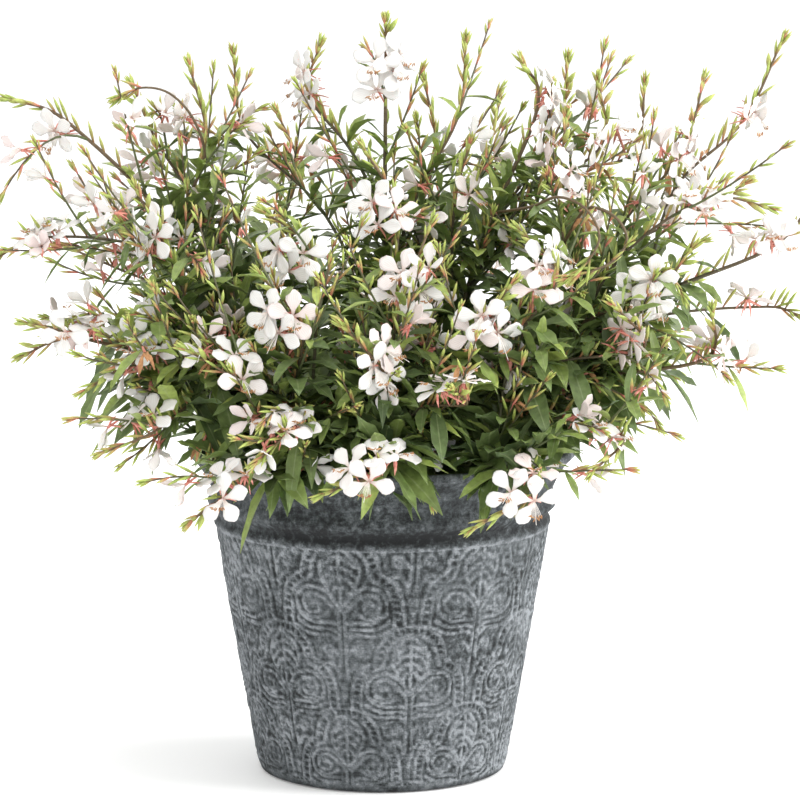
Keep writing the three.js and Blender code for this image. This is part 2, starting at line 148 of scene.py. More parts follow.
# How blooms stand on a wand, and their petals
BLOOM_AT = 0.75
BLOOM_STEP = 6
BLOOM_SPLAY = math.radians(58)
BLOOM_SPREAD = math.radians(46)
BLOOM_OUT, BLOOM_UP, BLOOM_FACING = 0.9, 0.55, 0.75
TUBE_LENGTH = 8.5
PETAL_LENGTH = 13.5
PETAL_HALF_WIDTH = 4.3
PETAL_WIDEST = 8.6
PETAL_CUP = 2.2
BLOOM_HALF_DEPTH = 1.15
PETAL_ANGLES = [math.radians(a) for a in (-107, -37, 37, 107)]
SWINGS = [0, 60, -60, 120, -120, 180]
SQUEEZES = [1, 0.85, 0.7, 0.55]
ROLLS = [0, 12, -12, 24, -24, 36, -36, 48, -48, 60, -60, 75, -75, 90, -90, 120, -120, 150]
OWN_NODE_BLOOMS = 2

# Side buds and leaves
SIDE_BUDS = [2, 1, 1, 1, 1]
BUD_AT = 0.9
BUD_STEP = 0.05
BUD_LENGTH = 11.5
BUD_RADIUS = 1.5
BUD_SPLAY = math.radians(33)
LEAF_LENGTH = 41
LEAF_SPLAY = math.radians(62)
MAIN_LEAVES = 9
BRANCH_LEAVES = 2
MAIN_LEAVES_FROM = 0.14
BRANCH_LEAVES_FROM = 0.2
LEAVES_TO = 0.62
GOLDEN = math.pi * (3 - math.sqrt(5))

# Each stem is a list of wands, the first its main axis: the place of its blooms, of its tip,
# and how many blooms are open.
STEMS = [
    # Left, high.
    [
        [[-160, -18, 342], [-193, -20, 356], 2],
        [[-118, 30, 328], [-132, 32, 360], 1],
        [[-173, -38, 286], [-204, -42, 272], 3],
        [[-92, 5, 338], [-101, 10, 373], 1],
    ],
    # Left front.
    [
        [[-152, -68, 238], [-181, -70, 246], 3],
        [[-117, -88, 231], [-150, -101, 215], 3],
        [[-113, -106, 196], [-140, -114, 186], 2],
        [[-110, -58, 283], [-126, -50, 314], 3],
    ],
    # Front left, low.
    [
        [[-72, -130, 170], [-95, -136, 155], 3],
        [[-46, -129, 198], [-62, -147, 186], 3],
        [[-70, -112, 222], [-98, -119, 240], 2],
        [[-40, -107, 250], [-62, -103, 276], 3],
        [[-36, -81, 284], [-60, -77, 304], 3],
    ],
    # Front, in the middle.
    [
        [[0, -139, 181], [-30, -139, 169], 4],
        [[0, -123, 230], [-20, -134, 254], 4],
        [[10, -97, 258], [26, -77, 300], 3],
        [[42, -123, 212], [34, -147, 224], 3],
        [[8, -48, 299], [-10, -44, 334], 3],
    ],
    # Front right, low.
    [
        [[78, -132, 172], [44, -141, 152], 4],
        [[120, -103, 194], [104, -128, 178], 3],
        [[48, -107, 246], [66, -108, 272], 3],
        [[88, -99, 272], [68, -84, 296], 4],
        [[131, -95, 236], [114, -114, 262], 3],
    ],
    # Right front.
    [
        [[163, -77, 228], [166, -92, 256], 3],
        [[138, -70, 262], [158, -75, 286], 3],
        [[164, -48, 306], [200, -46, 302], 3],
        [[91, -45, 308], [95, -28, 350], 3],
    ],
    # Right, high.
    [
        [[199, -18, 277], [222, -8, 298], 3],
        [[200, 12, 244], [221, -4, 240], 1],
        [[154, -28, 328], [167, -12, 367], 3],
        [[188, 4, 342], [209, 2, 387], 2],
    ],
    # Top, right of the middle.
    [
        [[80, -20, 350], [72, -24, 376], 4],
        [[92, 26, 335], [98, 32, 374], 0],
        [[114, -2, 330], [112, -4, 366], 1],
        [[132, 38, 322], [140, 48, 361], 2],
        [[38, -20, 304], [46, -14, 334], 1],
    ],
    # Top, left of the middle.
    [
        [[2, -8, 368], [2, -12, 396], 4],
        [[28, 34, 322], [22, 42, 363], 1],
        [[40, 12, 345], [44, 20, 385], 0],
        [[-38, -2, 357], [-32, 2, 383], 4],
        [[-72, 36, 334], [-79, 42, 377], 0],
    ],
    # Back right.
    [
        [[150, 89, 238], [176, 101, 252], 2],
        [[118, 118, 200], [138, 134, 184], 2],
        [[104, 94, 282], [124, 110, 306], 3],
        [[70, 134, 232], [92, 151, 244], 2],
        [[168, 52, 290], [196, 58, 306], 2],
    ],
    # Back, in the middle.
    [
        [[22, 149, 190], [42, 161, 172], 2],
        [[-22, 134, 236], [-40, 151, 254], 3],
        [[26, 101, 286], [18, 120, 316], 2],
        [[56, 74, 318], [64, 91, 350], 1],
        [[-66, 149, 176], [-92, 151, 160], 2],
    ],
    # Back left.
    [
        [[-118, 110, 214], [-142, 125, 200], 2],
        [[-140, 58, 258], [-170, 79, 268], 3],
        [[-84, 101, 262], [-104, 115, 288], 2],
        [[-46, 79, 310], [-58, 94, 342], 2],
        [[-164, 24, 226], [-192, 24, 216], 2],
    ],
]


def draw(*keys):
    """A repeatable number from 0 to 1 for whole-number keys."""
    h = 0x9E3779B9
    for key in keys:
        h = ((h ^ ((key + 0x7F4A7C15) & 0xFFFFFFFF)) * 0x85EBCA6B) & 0xFFFFFFFF
        h ^= h >> 13
        h = (h * 0xC2B2AE35) & 0xFFFFFFFF
        h ^= h >> 16
    return h / 4294967296


def lerp(a, b, t):
    return a + (b - a) * t


def graded(at, places, values):
    """A value that runs straight through others, each given at its place."""
    return float(np.interp(at, places, values))


def turned(vector, axis, angle):
    return Matrix.Rotation(angle, 3, axis) @ vector


def squared(vector, along):
    """The part of a vector that stands square to a direction, at length 1."""
    return (vector - along * along.dot(vector)).normalized()


def leaning(along, first, second, turn, splay):
    """A direction that leaves a line at an angle, at a turn round it from first to second."""
    away = first * math.cos(turn) + second * math.sin(turn)
    return along * math.cos(splay) + away * math.sin(splay)


class Wand:
    """A wand's middle line, curved, and the straight stations of it that the frame keeps."""

    def __init__(self, points, stations):
        first, last = 2 * points[0] - points[1], 2 * points[-1] - points[-2]
        self.points = [first, *points, last]
        reach = points[-1] - points[0]
        self.side = Vector((-reach.y, reach.x, 0)).normalized()
        self.stations = stations
        self.corners = [(t, self.curve(t)) for t in [*stations, *END_BUD_AT]]

    def curve(self, t):
        count = len(self.points) - 3
        k = min(int(t * count), count - 1)
        w = t * count - k
        p0, p1, p2, p3 = self.points[k : k + 4]
        t0, t1 = 0.5 * (p2 - p0), 0.5 * (p3 - p1)
        bend = 3 * (p2 - p1) - 2 * t0 - t1
        return p1 + w * t0 + w * w * bend + w**3 * (2 * (p1 - p2) + t0 + t1)

    def at(self, t):
        held = min(max(t, 0), 1)
        k = max(1, next(i for i, (end, _) in enumerate(self.corners) if end >= held))
        (start, a), (end, b) = self.corners[k - 1], self.corners[k]
        return a.lerp(b, (held - start) / (end - start))

    def along(self, t):
        return (self.at(t + 0.01) - self.at(t - 0.01)).normalized()

    def speed(self, t):
        return (self.at(t + 0.01) - self.at(t - 0.01)).length / 0.02

    def across(self, t, towards):
        along = self.along(t)
        first = squared(towards, along)
        return first, along.cross(first)

    def smooth(self, t):
        """The curved line, its direction, and two directions across it."""
        a, b = self.curve(max(t - 0.004, 0)), self.curve(min(t + 0.004, 1))
        along = (b - a).normalized()
        first = squared(self.side, along)
        return self.curve(min(max(t, 0), 1)), along, first, first.cross(along)

    def spine(self, t):
        """The curved line and two directions across it, for a rod that is bent along it."""
        point, _, first, second = self.smooth(t)
        return point, first, second

    def off(self, t):
        """How far the curved line lies from the straight one."""
        return self.curve(min(max(t, 0), 1)) - self.at(t)


def soil_height(radius):
    return lerp(SOIL_CROWN, SOIL_EDGE, (radius / ROOT_REACH) ** 2)


def root_of(wands):
    x, y = wands[0][0][:2]
    reach = math.hypot(x, y) * ROOT_SPREAD
    held = min(1, ROOT_REACH / reach) * ROOT_SPREAD if reach else 0
    return Vector((x * held, y * held, soil_height(math.hypot(x * held, y * held))))


def wand_through(start, first, bloom, tip, aside, stations):
    reach = bloom - start
    side = Vector((-reach.y, reach.x, 0)).normalized()
    flat = math.hypot(reach.x, reach.y)
    middle = start + 0.5 * reach + side * aside
    middle.x -= WAND_HOLD_BACK * reach.x
    middle.y -= WAND_HOLD_BACK * reach.y
    middle.z += WAND_HOLD_BACK * reach.z + WAND_ARCH * flat
    return Wand([start, start + first * ROOT_RISE, middle, bloom, tip], stations)


class Corners:
    """The corners of a node of the frame, to find which way each repeat was set."""

    def __init__(self, node):
        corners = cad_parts[node].data.vertices
        self.tree = kdtree.KDTree(len(corners))
        for i, corner in enumerate(corners):
            self.tree.insert(corner.co / MM, i)
        self.tree.balance()

    def has(self, point):
        return self.tree.find(point)[2] < SAME_CORNER


def wand_match(corners, wand, base):
    found = 0
    for t in wand.stations[1:]:
        first, second = wand.across(t, wand.side)
        radius = lerp(base, TIP_RADIUS, t**WAND_TAPER)
        for turn in (0, 2 * math.pi / 3, 4 * math.pi / 3):
            spot = wand.at(t) + radius * (first * math.sin(turn) - second * math.cos(turn))
            found += corners.has(spot)
    return found


def grown():
    """Every wand, set as the frame has it."""
    wands = []
    for k, rows in enumerate(STEMS):
        stem = f"stem_{k + 1:02d}"
        corners = Corners(stem)
        main = None
        for j, (bloom, tip, count) in enumerate(rows):
            point = BRANCH_POINTS[j - 1]
            start = main.at(point) if main else root_of(rows)
            ahead = main.along(point) if main else UP
            base = WAND_RADIUS if main else STEM_RADIUS
            stations = BRANCH_STATIONS if main else MAIN_STATIONS
            ways = [wand_through(start, ahead, Vector(bloom), Vector(tip), a, stations) for a in ASIDES]
            wand = max(ways, key=lambda way: wand_match(corners, way, base))
            if wand_match(corners, wand, base) < WAND_CORNERS:
                raise ValueError(f"{stem} wand {j} isn't where the frame has it")
            main = main or wand
            wands.append((wand, stem, corners, count, 10 * (k + 1) + j, wand is main))
    return wands


def bloom_place(wand, count, j, swing, squeeze, roll, key):
    t = BLOOM_AT + (j - (count - 1) / 2) * squeeze * BLOOM_STEP / wand.speed(BLOOM_AT)
    foot = wand.at(t)
    outward = Vector((foot.x, foot.y, 0)).normalized() * BLOOM_OUT + UP * BLOOM_UP
    first, second = wand.across(t, outward)
    spread = (1 if j % 2 else -1) * BLOOM_SPREAD * squeeze * (0.7 + 0.4 * draw(key, j, 1))
    direction = leaning(wand.along(t), first, second, spread + math.radians(swing), BLOOM_SPLAY)
    facing = (direction + BLOOM_FACING * first).normalized()
    up = turned(squared(UP, facing), facing, math.radians(roll) + 0.7 * (draw(key, j, 2) - 0.5))
    centre = foot + direction * TUBE_LENGTH + facing * (BLOOM_HALF_DEPTH + GAP + 0.1)
    return {"t": t, "centre": centre, "facing": facing, "up": up}


def bloom_match(corners, place):
    half = math.atan2(PETAL_HALF_WIDTH, PETAL_WIDEST)
    wide = math.hypot(PETAL_HALF_WIDTH, PETAL_WIDEST)
    found = 0
    for angle in PETAL_ANGLES:
        for off, radius, lift in ((-half, wide, 0.75), (0, PETAL_LENGTH, 1), (half, wide, 0.75)):
            way = turned(place["up"], place["facing"], angle + off)
            spot = place["centre"] + way * radius + place["facing"] * lift * PETAL_CUP
            found += corners.has(spot)
    return found


def bloomed(wands):
    """Every bloom by node: where it stands and how it is turned."""
    nodes = {}
    number = 0
    for wand, owner, corners, count, key, _ in wands:
        if count >= OWN_NODE_BLOOMS:
            number += 1
            owner = f"blooms_{number:02d}"
            corners = Corners(owner)
        for j in range(count):
            best, score = None, 0
            for swing in SWINGS:
                for squeeze, roll in product(SQUEEZES, ROLLS):
                    place = bloom_place(wand, count, j, swing, squeeze, roll, key)
                    found = bloom_match(corners, place)
                    if found > score:
                        best, score = place, found
                if score > SURE_BLOOM_CORNERS:
                    break
            if score < BLOOM_CORNERS:
                raise ValueError(f"{owner} bloom {j} isn't where the frame has it")
            nodes.setdefault(owner, []).append({**best, "wand": wand, "key": 100 * key + j})
    return nodes


def budded(wand, corners, count, key):
    """The side buds of a wand that the frame has: place along it, direction and length."""
    for j in range(SIDE_BUDS[count]):
        t = BUD_AT - BUD_STEP * j
        length = BUD_LENGTH * (0.85 + 0.12 * j + 0.2 * draw(key, j, 4))
        for k in (0, 1, -1, 2, -2):
            turn = GOLDEN * j + k * 0.6 + 6 * draw(key, j, 3)
            direction = leaning(wand.along(t), *wand.across(t, UP), turn, BUD_SPLAY)
            if corners.has(wand.at(t) + direction * length):
                yield t, direction, length
                break


def leafed(wand, corners, key, main):
    """The leaves of a wand that the frame has: place, direction, length and droop."""
    count = MAIN_LEAVES if main else BRANCH_LEAVES
    for j in range(count):
        share = (j + 0.3 + 0.4 * draw(key, j, 5)) / count
        t = lerp(MAIN_LEAVES_FROM if main else BRANCH_LEAVES_FROM, LEAVES_TO, share)
        length = LEAF_LENGTH * (1.12 - 0.5 * t) * (0.85 + 0.3 * draw(key, j, 6))
        droop = 0.2 + 0.35 * draw(key, j, 7)
        for k in (0, 1, -1, 2, -2, 3, -3, 4):
            turn = GOLDEN * (j + 3 * key) + k * 0.7
            direction = leaning(wand.along(t), *wand.across(t, UP), turn, LEAF_SPLAY)
            if corners.has(wand.at(t) + direction * length - UP * droop * length):
                yield t, direction, length, droop
                break


# Materials


class Skin:
    """A material that is built up node by node."""

    def __init__(self, name):
        self.made = bpy.data.materials.new(name)
        self.made.use_nodes = True
        self.tree = self.made.node_tree

    def give(self, socket, source):
        """Links another node's output to a socket, or sets the socket to a plain value."""
        if hasattr(source, "is_output"):
            self.tree.links.new(source, socket)
        elif socket.type == "RGBA":
            socket.default_value = (*source, 1)
        else:
            socket.default_value = source

    def node(self, kind, inputs=(), **settings):
        """The outputs of a new node."""
        made = self.tree.nodes.new(kind)
        for key, value in settings.items():
            setattr(made, key, value)
        for name, source in dict(inputs).items():
            self.give(made.inputs[name], source)
        return made.outputs

    def ramp(self, source, *stops):
        """Colours over a range. A stop is a place and a colour, or a number for a grey."""
        colours = self.node("ShaderNodeValToRGB", {"Fac": source})["Color"]
        spots = colours.node.color_ramp.elements
        while len(spots) < len(stops):
            spots.new(0.5)
        for spot, (place, colour) in zip(spots, stops):
            spot.position = place
            spot.color = (*colour, 1) if isinstance(colour, tuple) else (colour, colour, colour, 1)
        return colours

    def attribute(self, name):
        return self.node("ShaderNodeAttribute", attribute_name=name)["Fac"]

    def sheet(self, axis):
        """How far across (X) or along (Y) the piece's own UV map a place lies."""
        return self.node("ShaderNodeSeparateXYZ", {"Vector": self.node("ShaderNodeUVMap")["UV"]})[axis]

    def grain(self, scale, detail=3, rough=0.55, stretch=None):
        """Noise over the piece, drawn out into streaks if it has a stretch."""
        place = self.node("ShaderNodeTexCoord")["Object"]
        if stretch:
            place = self.node("ShaderNodeMapping", {"Vector": place, "Scale": stretch})["Vector"]
        look = {"Vector": place, "Scale": scale, "Detail": detail, "Roughness": rough}
        return self.node("ShaderNodeTexNoise", look)["Fac"]

    def mixed(self, share, first, second, how="MIX"):
        sides = {0: share, 6: first, 7: second}
        return self.node("ShaderNodeMix", sides, data_type="RGBA", blend_type=how)[2]

    def weighted(self, first, weight, rest):
        """First times weight, and the rest added."""
        return self.node("ShaderNodeMath", {0: first, 1: weight, 2: rest}, operation="MULTIPLY_ADD")[0]

    def speckled(self, colour, grain, *stops):
        """A colour made darker and lighter by a grain."""
        return self.mixed(1.0, colour, self.ramp(grain, *stops), "MULTIPLY")

    def finished(self, colour, rough, height, strength, distance, sockets=()):
        """The material, with its colour, roughness, bump and whatever else its surface has."""
        raised = {"Height": height, "Strength": strength, "Distance": distance}
        bump = self.node("ShaderNodeBump", raised)["Normal"]
        look = {"Base Color": colour, "Roughness": rough, "Normal": bump, **dict(sockets)}
        base = self.tree.nodes["Principled BSDF"]
        for name, value in look.items():
            self.give(base.inputs[name], value)
        return self.made


def leaf_green():
    skin = Skin("leaf_green")
    blade = skin.ramp(
        skin.attribute("tone"),
        (0, (0.07, 0.11, 0.044)), (0.45, (0.165, 0.23, 0.068)),
        (0.75, (0.285, 0.365, 0.085)), (1, (0.44, 0.52, 0.13)),
    )
    rib = skin.ramp(
        skin.sheet("X"), (0, 0.35), (0.06, 0), (0.44, 0), (0.5, 1), (0.56, 0), (0.94, 0), (1, 0.35)
    )
    pale = skin.mixed(0.5, blade, (0.34, 0.4, 0.2))
    ribbed = skin.mixed(rib, blade, pale)
    colour = skin.speckled(ribbed, skin.grain(260), (0.35, 0.72), (0.7, 1.15))
    depth = {"Subsurface Weight": 0.2, "Subsurface Radius": (0.0025, 0.004, 0.001)}
    return skin.finished(colour, 0.45, skin.grain(420), 0.25, 0.0004, {"Specular IOR Level": 0.4, **depth})


def wand_green():
    skin = Skin("wand_green")
    bark = skin.ramp(
        skin.attribute("tone"),
        (0, (0.16, 0.2, 0.09)), (0.4, (0.1, 0.12, 0.045)),
        (0.75, (0.075, 0.06, 0.03)), (1, (0.13, 0.085, 0.04)),
    )
    colour = skin.speckled(bark, skin.grain(500, 4), (0.3, 0.65), (0.7, 1.2))
    return skin.finished(colour, 0.6, skin.grain(700), 0.3, 0.0003)


def bud_skin():
    skin = Skin("bud_skin")
    along = skin.sheet("Y")
    young = skin.ramp(
        along,
        (0, (0.24, 0.08, 0.05)), (0.2, (0.22, 0.2, 0.05)), (0.42, (0.27, 0.36, 0.07)),
        (0.85, (0.42, 0.5, 0.12)), (1, (0.46, 0.38, 0.16)),
    )
    flush = skin.ramp(along, (0, 1), (0.45, 0.8), (0.8, 0.15))
    rosy = skin.mixed(skin.weighted(skin.attribute("tone"), flush, 0.0), young, (0.6, 0.13, 0.13))
    colour = skin.speckled(rosy, skin.grain(600), (0.3, 0.75), (0.7, 1.15))
    return skin.finished(colour, 0.55, skin.grain(900), 0.3, 0.0003)


def petal_white():
    skin = Skin("petal_white")
    heart = skin.ramp(
        skin.sheet("Y"),
        (0, (0.62, 0.39, 0.33)), (0.1, (0.7, 0.63, 0.57)),
        (0.24, (0.745, 0.735, 0.71)), (1, (0.765, 0.765, 0.745)),
    )
    waves = {"Vector": skin.node("ShaderNodeUVMap")["UV"], "Scale": 2.6, "Distortion": 1.6, "Detail": 2}
    waves["Detail Scale"] = 1.4
    veins = skin.node("ShaderNodeTexWave", waves, wave_type="BANDS", bands_direction="X")["Fac"]
    flushed = skin.mixed(skin.attribute("tone"), heart, (0.73, 0.51, 0.48))
    colour = skin.speckled(flushed, veins, (0, (0.9, 0.87, 0.86)), (0.35, 1), (1, 1))
    depth = {"Subsurface Weight": 0.25, "Subsurface Radius": (0.002, 0.0016, 0.0014)}
    return skin.finished(colour, 0.55, veins, 0.2, 0.0002, depth)


def plain_skin(name, low, high, rough=0.55):
    skin = Skin(name)
    colour = skin.ramp(skin.grain(450), (0.3, low), (0.7, high))
    return skin.finished(colour, rough, skin.grain(900), 0.25, 0.0002)


def weathered_stone():
    """Grey stone look: dark wash in the recesses, painted shade on the rim's groove and band, pale rubbed
    ridges, blotches and fine specks.
    """
    skin = Skin("weathered_stone")
    speck = skin.grain(300, 6, 0.72)
    patch = skin.ramp(skin.grain(30, 3, 0.5), (0.4, 0), (0.6, 1))
    wear_and_shade = skin.weighted(skin.grain(22, 4, 0.6), 0.6, 0.155)
    wear_and_shade = skin.weighted(skin.grain(75, 5, 0.65), 0.4, wear_and_shade)
    wear_and_shade = skin.weighted(skin.weighted(speck, 1, -0.5), skin.weighted(patch, 0.5, 0.8), wear_and_shade)
    wear_and_shade = skin.weighted(skin.grain(60, 4, 0.5, (1, 1, 9)), 0.25, wear_and_shade)
    wear_and_shade = skin.weighted(skin.attribute("height"), 0.17, wear_and_shade)
    # Darkens the stone by the pot's wash attribute: the dark wash in the recesses, and painted shade on the
    # rim's groove and band.
    wear_and_shade = skin.weighted(skin.attribute("wash_and_shade"), skin.weighted(patch, -0.12, -0.16), wear_and_shade)
    stone = skin.ramp(
        wear_and_shade,
        (0.4, (0.013, 0.014, 0.015)), (0.58, (0.038, 0.043, 0.045)), (0.74, (0.088, 0.098, 0.104)),
        (0.87, (0.15, 0.162, 0.172)), (1, (0.25, 0.268, 0.284)),
    )
    colour = skin.speckled(stone, skin.grain(1500, 2, 0.5), (0.3, 0.78), (0.7, 1.16))
    return skin.finished(colour, 0.88, speck, 0.7, 0.0009, {"Specular IOR Level": 0.3})


def potting_soil():
    skin = Skin("potting_soil")
    crumbs = skin.grain(230, 6, 0.7)
    dark = skin.ramp(
        crumbs, (0.25, (0.008, 0.005, 0.003)), (0.55, (0.035, 0.022, 0.013)), (0.8, (0.09, 0.06, 0.038))
    )
    return skin.finished(dark, 0.95, crumbs, 0.8, 0.002)


LEAF = leaf_green()
BARK = wand_green()
BUD = bud_skin()
PETAL = petal_white()
SEPAL = plain_skin("sepal_pink", (0.56, 0.15, 0.12), (0.76, 0.36, 0.28))
THREAD = plain_skin("stamen_white", (0.75, 0.68, 0.62), (0.9, 0.86, 0.82))
ANTHER = plain_skin("anther_rust", (0.28, 0.12, 0.05), (0.5, 0.28, 0.12), 0.7)
SPENT = plain_skin("spent_tan", (0.3, 0.13, 0.05), (0.55, 0.3, 0.14), 0.8)
STONE = weathered_stone()
EARTH = potting_soil()

# Shapes that repeat, made once

ROW_NEAR, POINT_NEAR = 0.01, 1e-4
ROWS_CLOSER = 0.75


def deselect():
    bpy.ops.object.select_all(action="DESELECT")


def pick(piece, test):
    """Selects a piece's corners by their place, and leaves it in edit mode."""
    bpy.ops.object.mode_set(mode="EDIT")
    bpy.ops.mesh.select_mode(type="VERT")
    bpy.ops.mesh.select_all(action="DESELECT")
    bpy.ops.object.mode_set(mode="OBJECT")
    for corner in piece.data.vertices:
        corner.select = test(corner.co)
    bpy.ops.object.mode_set(mode="EDIT")


def lay_sheet(piece, across):
    """Lays the UV map of a piece: its width as across gives it, and its length as it is."""
    bpy.ops.object.mode_set(mode="OBJECT")
    sheet = piece.data.uv_layers.active.data
    for loop in piece.data.loops:
        x, y, _ = piece.data.vertices[loop.vertex_index].co
        sheet[loop.index].uv = (across(x), y)


def finished(piece, name, skin):
    bpy.ops.object.mode_set(mode="OBJECT")
    piece.name = name
    piece.data.materials.append(skin)
    bpy.ops.object.shade_smooth()
    piece.data.attributes.new("tone", "FLOAT", "POINT")
    return piece


def blade(name, skin, columns, widths, fold, wave, thickness):
    """A thin blade of length 1 along Y: half widths from foot to tip, folded on its rib, its rows
    closer together towards the tip."""
    deselect()
    rows = len(widths) - 1
    bpy.ops.mesh.primitive_grid_add(x_subdivisions=columns, y_subdivisions=rows, size=1, calc_uvs=True)
    piece = bpy.context.object
    bpy.ops.object.mode_set(mode="EDIT")
    bpy.ops.transform.translate(value=(0, 0.5, 0))
    for row, half in enumerate(widths):
        pick(piece, lambda co: abs(co.y - row / rows) < ROW_NEAR)
        bpy.ops.transform.resize(value=(2 * half, 1, 1), center_override=(0, 0, 0))
    for column in range(columns + 1):
        share = abs(2 * column / columns - 1)
        for row, half in enumerate(widths):
            spot = (column / columns - 0.5) * 2 * half
            pick(piece, lambda co: abs(co.y - row / rows) < ROW_NEAR and abs(co.x - spot) < POINT_NEAR)
            lift = fold * half * share + wave * half * share * math.sin(2.4 * row + 2 * column)
            bpy.ops.transform.translate(value=(0, 0, lift))
    for row in range(rows - 1, 0, -1):
        pick(piece, lambda co: abs(co.y - row / rows) < ROW_NEAR)
        bpy.ops.transform.translate(value=(0, (row / rows) ** ROWS_CLOSER - row / rows, 0))
    bpy.ops.object.mode_set(mode="OBJECT")
    wall = piece.modifiers.new("thickness", "SOLIDIFY")
    wall.thickness = thickness
    wall.offset = 0
    bpy.ops.object.modifier_apply(modifier=wall.name)
    return finished(piece, name, skin)


def rod(name, skin, sides, steps):
    """A closed round rod of radius 1 and length 1 along Y."""
    deselect()
    lying = (-math.pi / 2, 0, 0)
    bpy.ops.mesh.primitive_circle_add(
        vertices=sides, radius=1, fill_type="NGON", rotation=lying, calc_uvs=True
    )
    piece = bpy.context.object
    bpy.ops.object.transform_apply(location=False, rotation=True, scale=False)
    bpy.ops.object.mode_set(mode="EDIT")
    bpy.ops.mesh.select_all(action="SELECT")
    for _ in range(steps):
        bpy.ops.mesh.extrude_region_move(TRANSFORM_OT_translate={"value": (0, 1 / steps, 0)})
    bpy.ops.mesh.select_all(action="SELECT")
    bpy.ops.mesh.normals_make_consistent(inside=False)
    lay_sheet(piece, lambda x: 0.5)
    return finished(piece, name, skin)


def lance(name, skin, widths, fold, wave, thickness):
    """A closed pointed blade of length 1 along Y: half widths from foot to tip, its margins
    folded up from the rib and waved."""
    piece = rod(name, skin, 4, len(widths) - 1)
    for row, half in enumerate(widths):
        spot = row / (len(widths) - 1)
        pick(piece, lambda co: abs(co.y - spot) < ROW_NEAR)
        bpy.ops.transform.resize(value=(half, 1, thickness), center_override=(0, spot, 0))
        for side in (-1, 1):
            pick(piece, lambda co: abs(co.y - spot) < ROW_NEAR and co.x * side > POINT_NEAR)
            lift = half * (fold + wave * math.sin(2.5 * row + 1.3 * side))
            bpy.ops.transform.translate(value=(0, 0, lift))
    pick(piece, lambda co: abs(co.x) > POINT_NEAR)
    bpy.ops.mesh.mark_sharp()
    lay_sheet(piece, lambda x: 0.5 if abs(x) < POINT_NEAR else 0.5 + math.copysign(0.5, x))
    return piece


LEAF_WIDTHS = [0.014, 0.074, 0.12, 0.138, 0.122, 0.075, 0.004]
PETAL_WIDTHS = [0.03, 0.085, 0.205, 0.29, 0.305, 0.225, 0.06]
SEPAL_WIDTHS = [0.05, 0.08, 0.07, 0.01]
SPENT_WIDTHS = [0.03, 0.14, 0.16, 0.05]

leaf = lance("leaf", LEAF, LEAF_WIDTHS, 0.4, 0.12, 0.005)
wavy_leaf = lance("wavy_leaf", LEAF, LEAF_WIDTHS, 0.28, 0.34, 0.005)
petal = blade("petal", PETAL, 4, PETAL_WIDTHS, 0.2, 0.06, 0.012)
wavy_petal = blade("wavy_petal", PETAL, 4, PETAL_WIDTHS, 0.02, 0.2, 0.012)
sepal = lance("sepal", SEPAL, SEPAL_WIDTHS, 0.5, 0, 0.02)
spent_blade = lance("spent_blade", SPENT, SPENT_WIDTHS, 0.9, 0.5, 0.02)
wand_rod = rod("wand_rod", BARK, 7, 30)
shoot_rod = rod("shoot_rod", BARK, 5, 8)
bud_rod = rod("bud_rod", BUD, 5, 4)
tube_rod = rod("tube_rod", SEPAL, 6, 4)
thread_rod = rod("thread_rod", THREAD, 3, 4)
anther_rod = rod("anther_rod", ANTHER, 4, 3)
MASTERS = [
    leaf, wavy_leaf, petal, wavy_petal, sepal, spent_blade,
    wand_rod, shoot_rod, bud_rod, tube_rod, thread_rod, anther_rod,
]


def corners_of(piece):
    flat = np.empty(3 * len(piece.data.vertices))
    piece.data.vertices.foreach_get("co", flat)
    return flat.reshape(-1, 3)


SHAPES = {piece.name: corners_of(piece) for piece in MASTERS}


class Bunch:
    """Copies of the shapes, each with its own mesh, that become one piece in the end."""

    def __init__(self, name):
        self.name = name
        self.copies = []

    def along(self, master, spine, width, tone=0.5):
        """A copy bent along a spine: spine(s) gives a point and two directions across. Its width
        and tone are numbers, or run along it."""
        shape = SHAPES[master.name]
        steps, row = np.unique(np.round(np.clip(shape[:, 1], 0, 1), 3), return_inverse=True)
        rings = [spine(float(s)) for s in steps]
        middle, first, second = (np.array([ring[k][:] for ring in rings])[row] for k in range(3))
        scale, tones = (
            np.array([value(float(s)) if callable(value) else value for s in steps])[row, None]
            for value in (width, tone)
        )
        places = middle + first * shape[:, :1] * scale + second * shape[:, 2:] * scale
        mesh = master.data.copy()
        mesh.vertices.foreach_set("co", (places * MM).ravel())
        mesh.attributes["tone"].data.foreach_set("value", tones.ravel().astype(np.float32))
        copy = bpy.data.objects.new(self.name, mesh)
        bpy.context.collection.objects.link(copy)
        self.copies.append(copy)

    def joined(self):
        deselect()
        for copy in self.copies:
            copy.select_set(True)
        bpy.context.view_layer.objects.active = self.copies[0]
        bpy.ops.object.join()
        piece = bpy.context.object
        piece.name = self.name
        piece.data.name = self.name
        return piece


def straight(start, direction, length, bend=0.0, sag=UP):
    """A spine from a point along a direction, bending away by a share of its length."""
    side = direction.cross(UP) if abs(direction.z) < 0.98 else Vector((1, 0, 0))
    side.normalize()

    def spine(s):
        point = start + direction * (s * length) - sag * (bend * s * s * length)
        along = (direction - sag * (2 * bend * s)).normalized()
        first = squared(side, along)
        return point, first, first.cross(along)

    return spine


def leaf_spine(start, direction, length, droop, twist=0.0):
    def spine(s):
        point = start + direction * (s * length) - UP * (droop * s * s * length)
        along = (direction - UP * (2 * droop * s)).normalized()
        aside = turned(Vector((along.y, -along.x, 0)).normalized(), along, twist * s)
        return point, aside, aside.cross(along)

    return spine


# Stems, leaves and buds

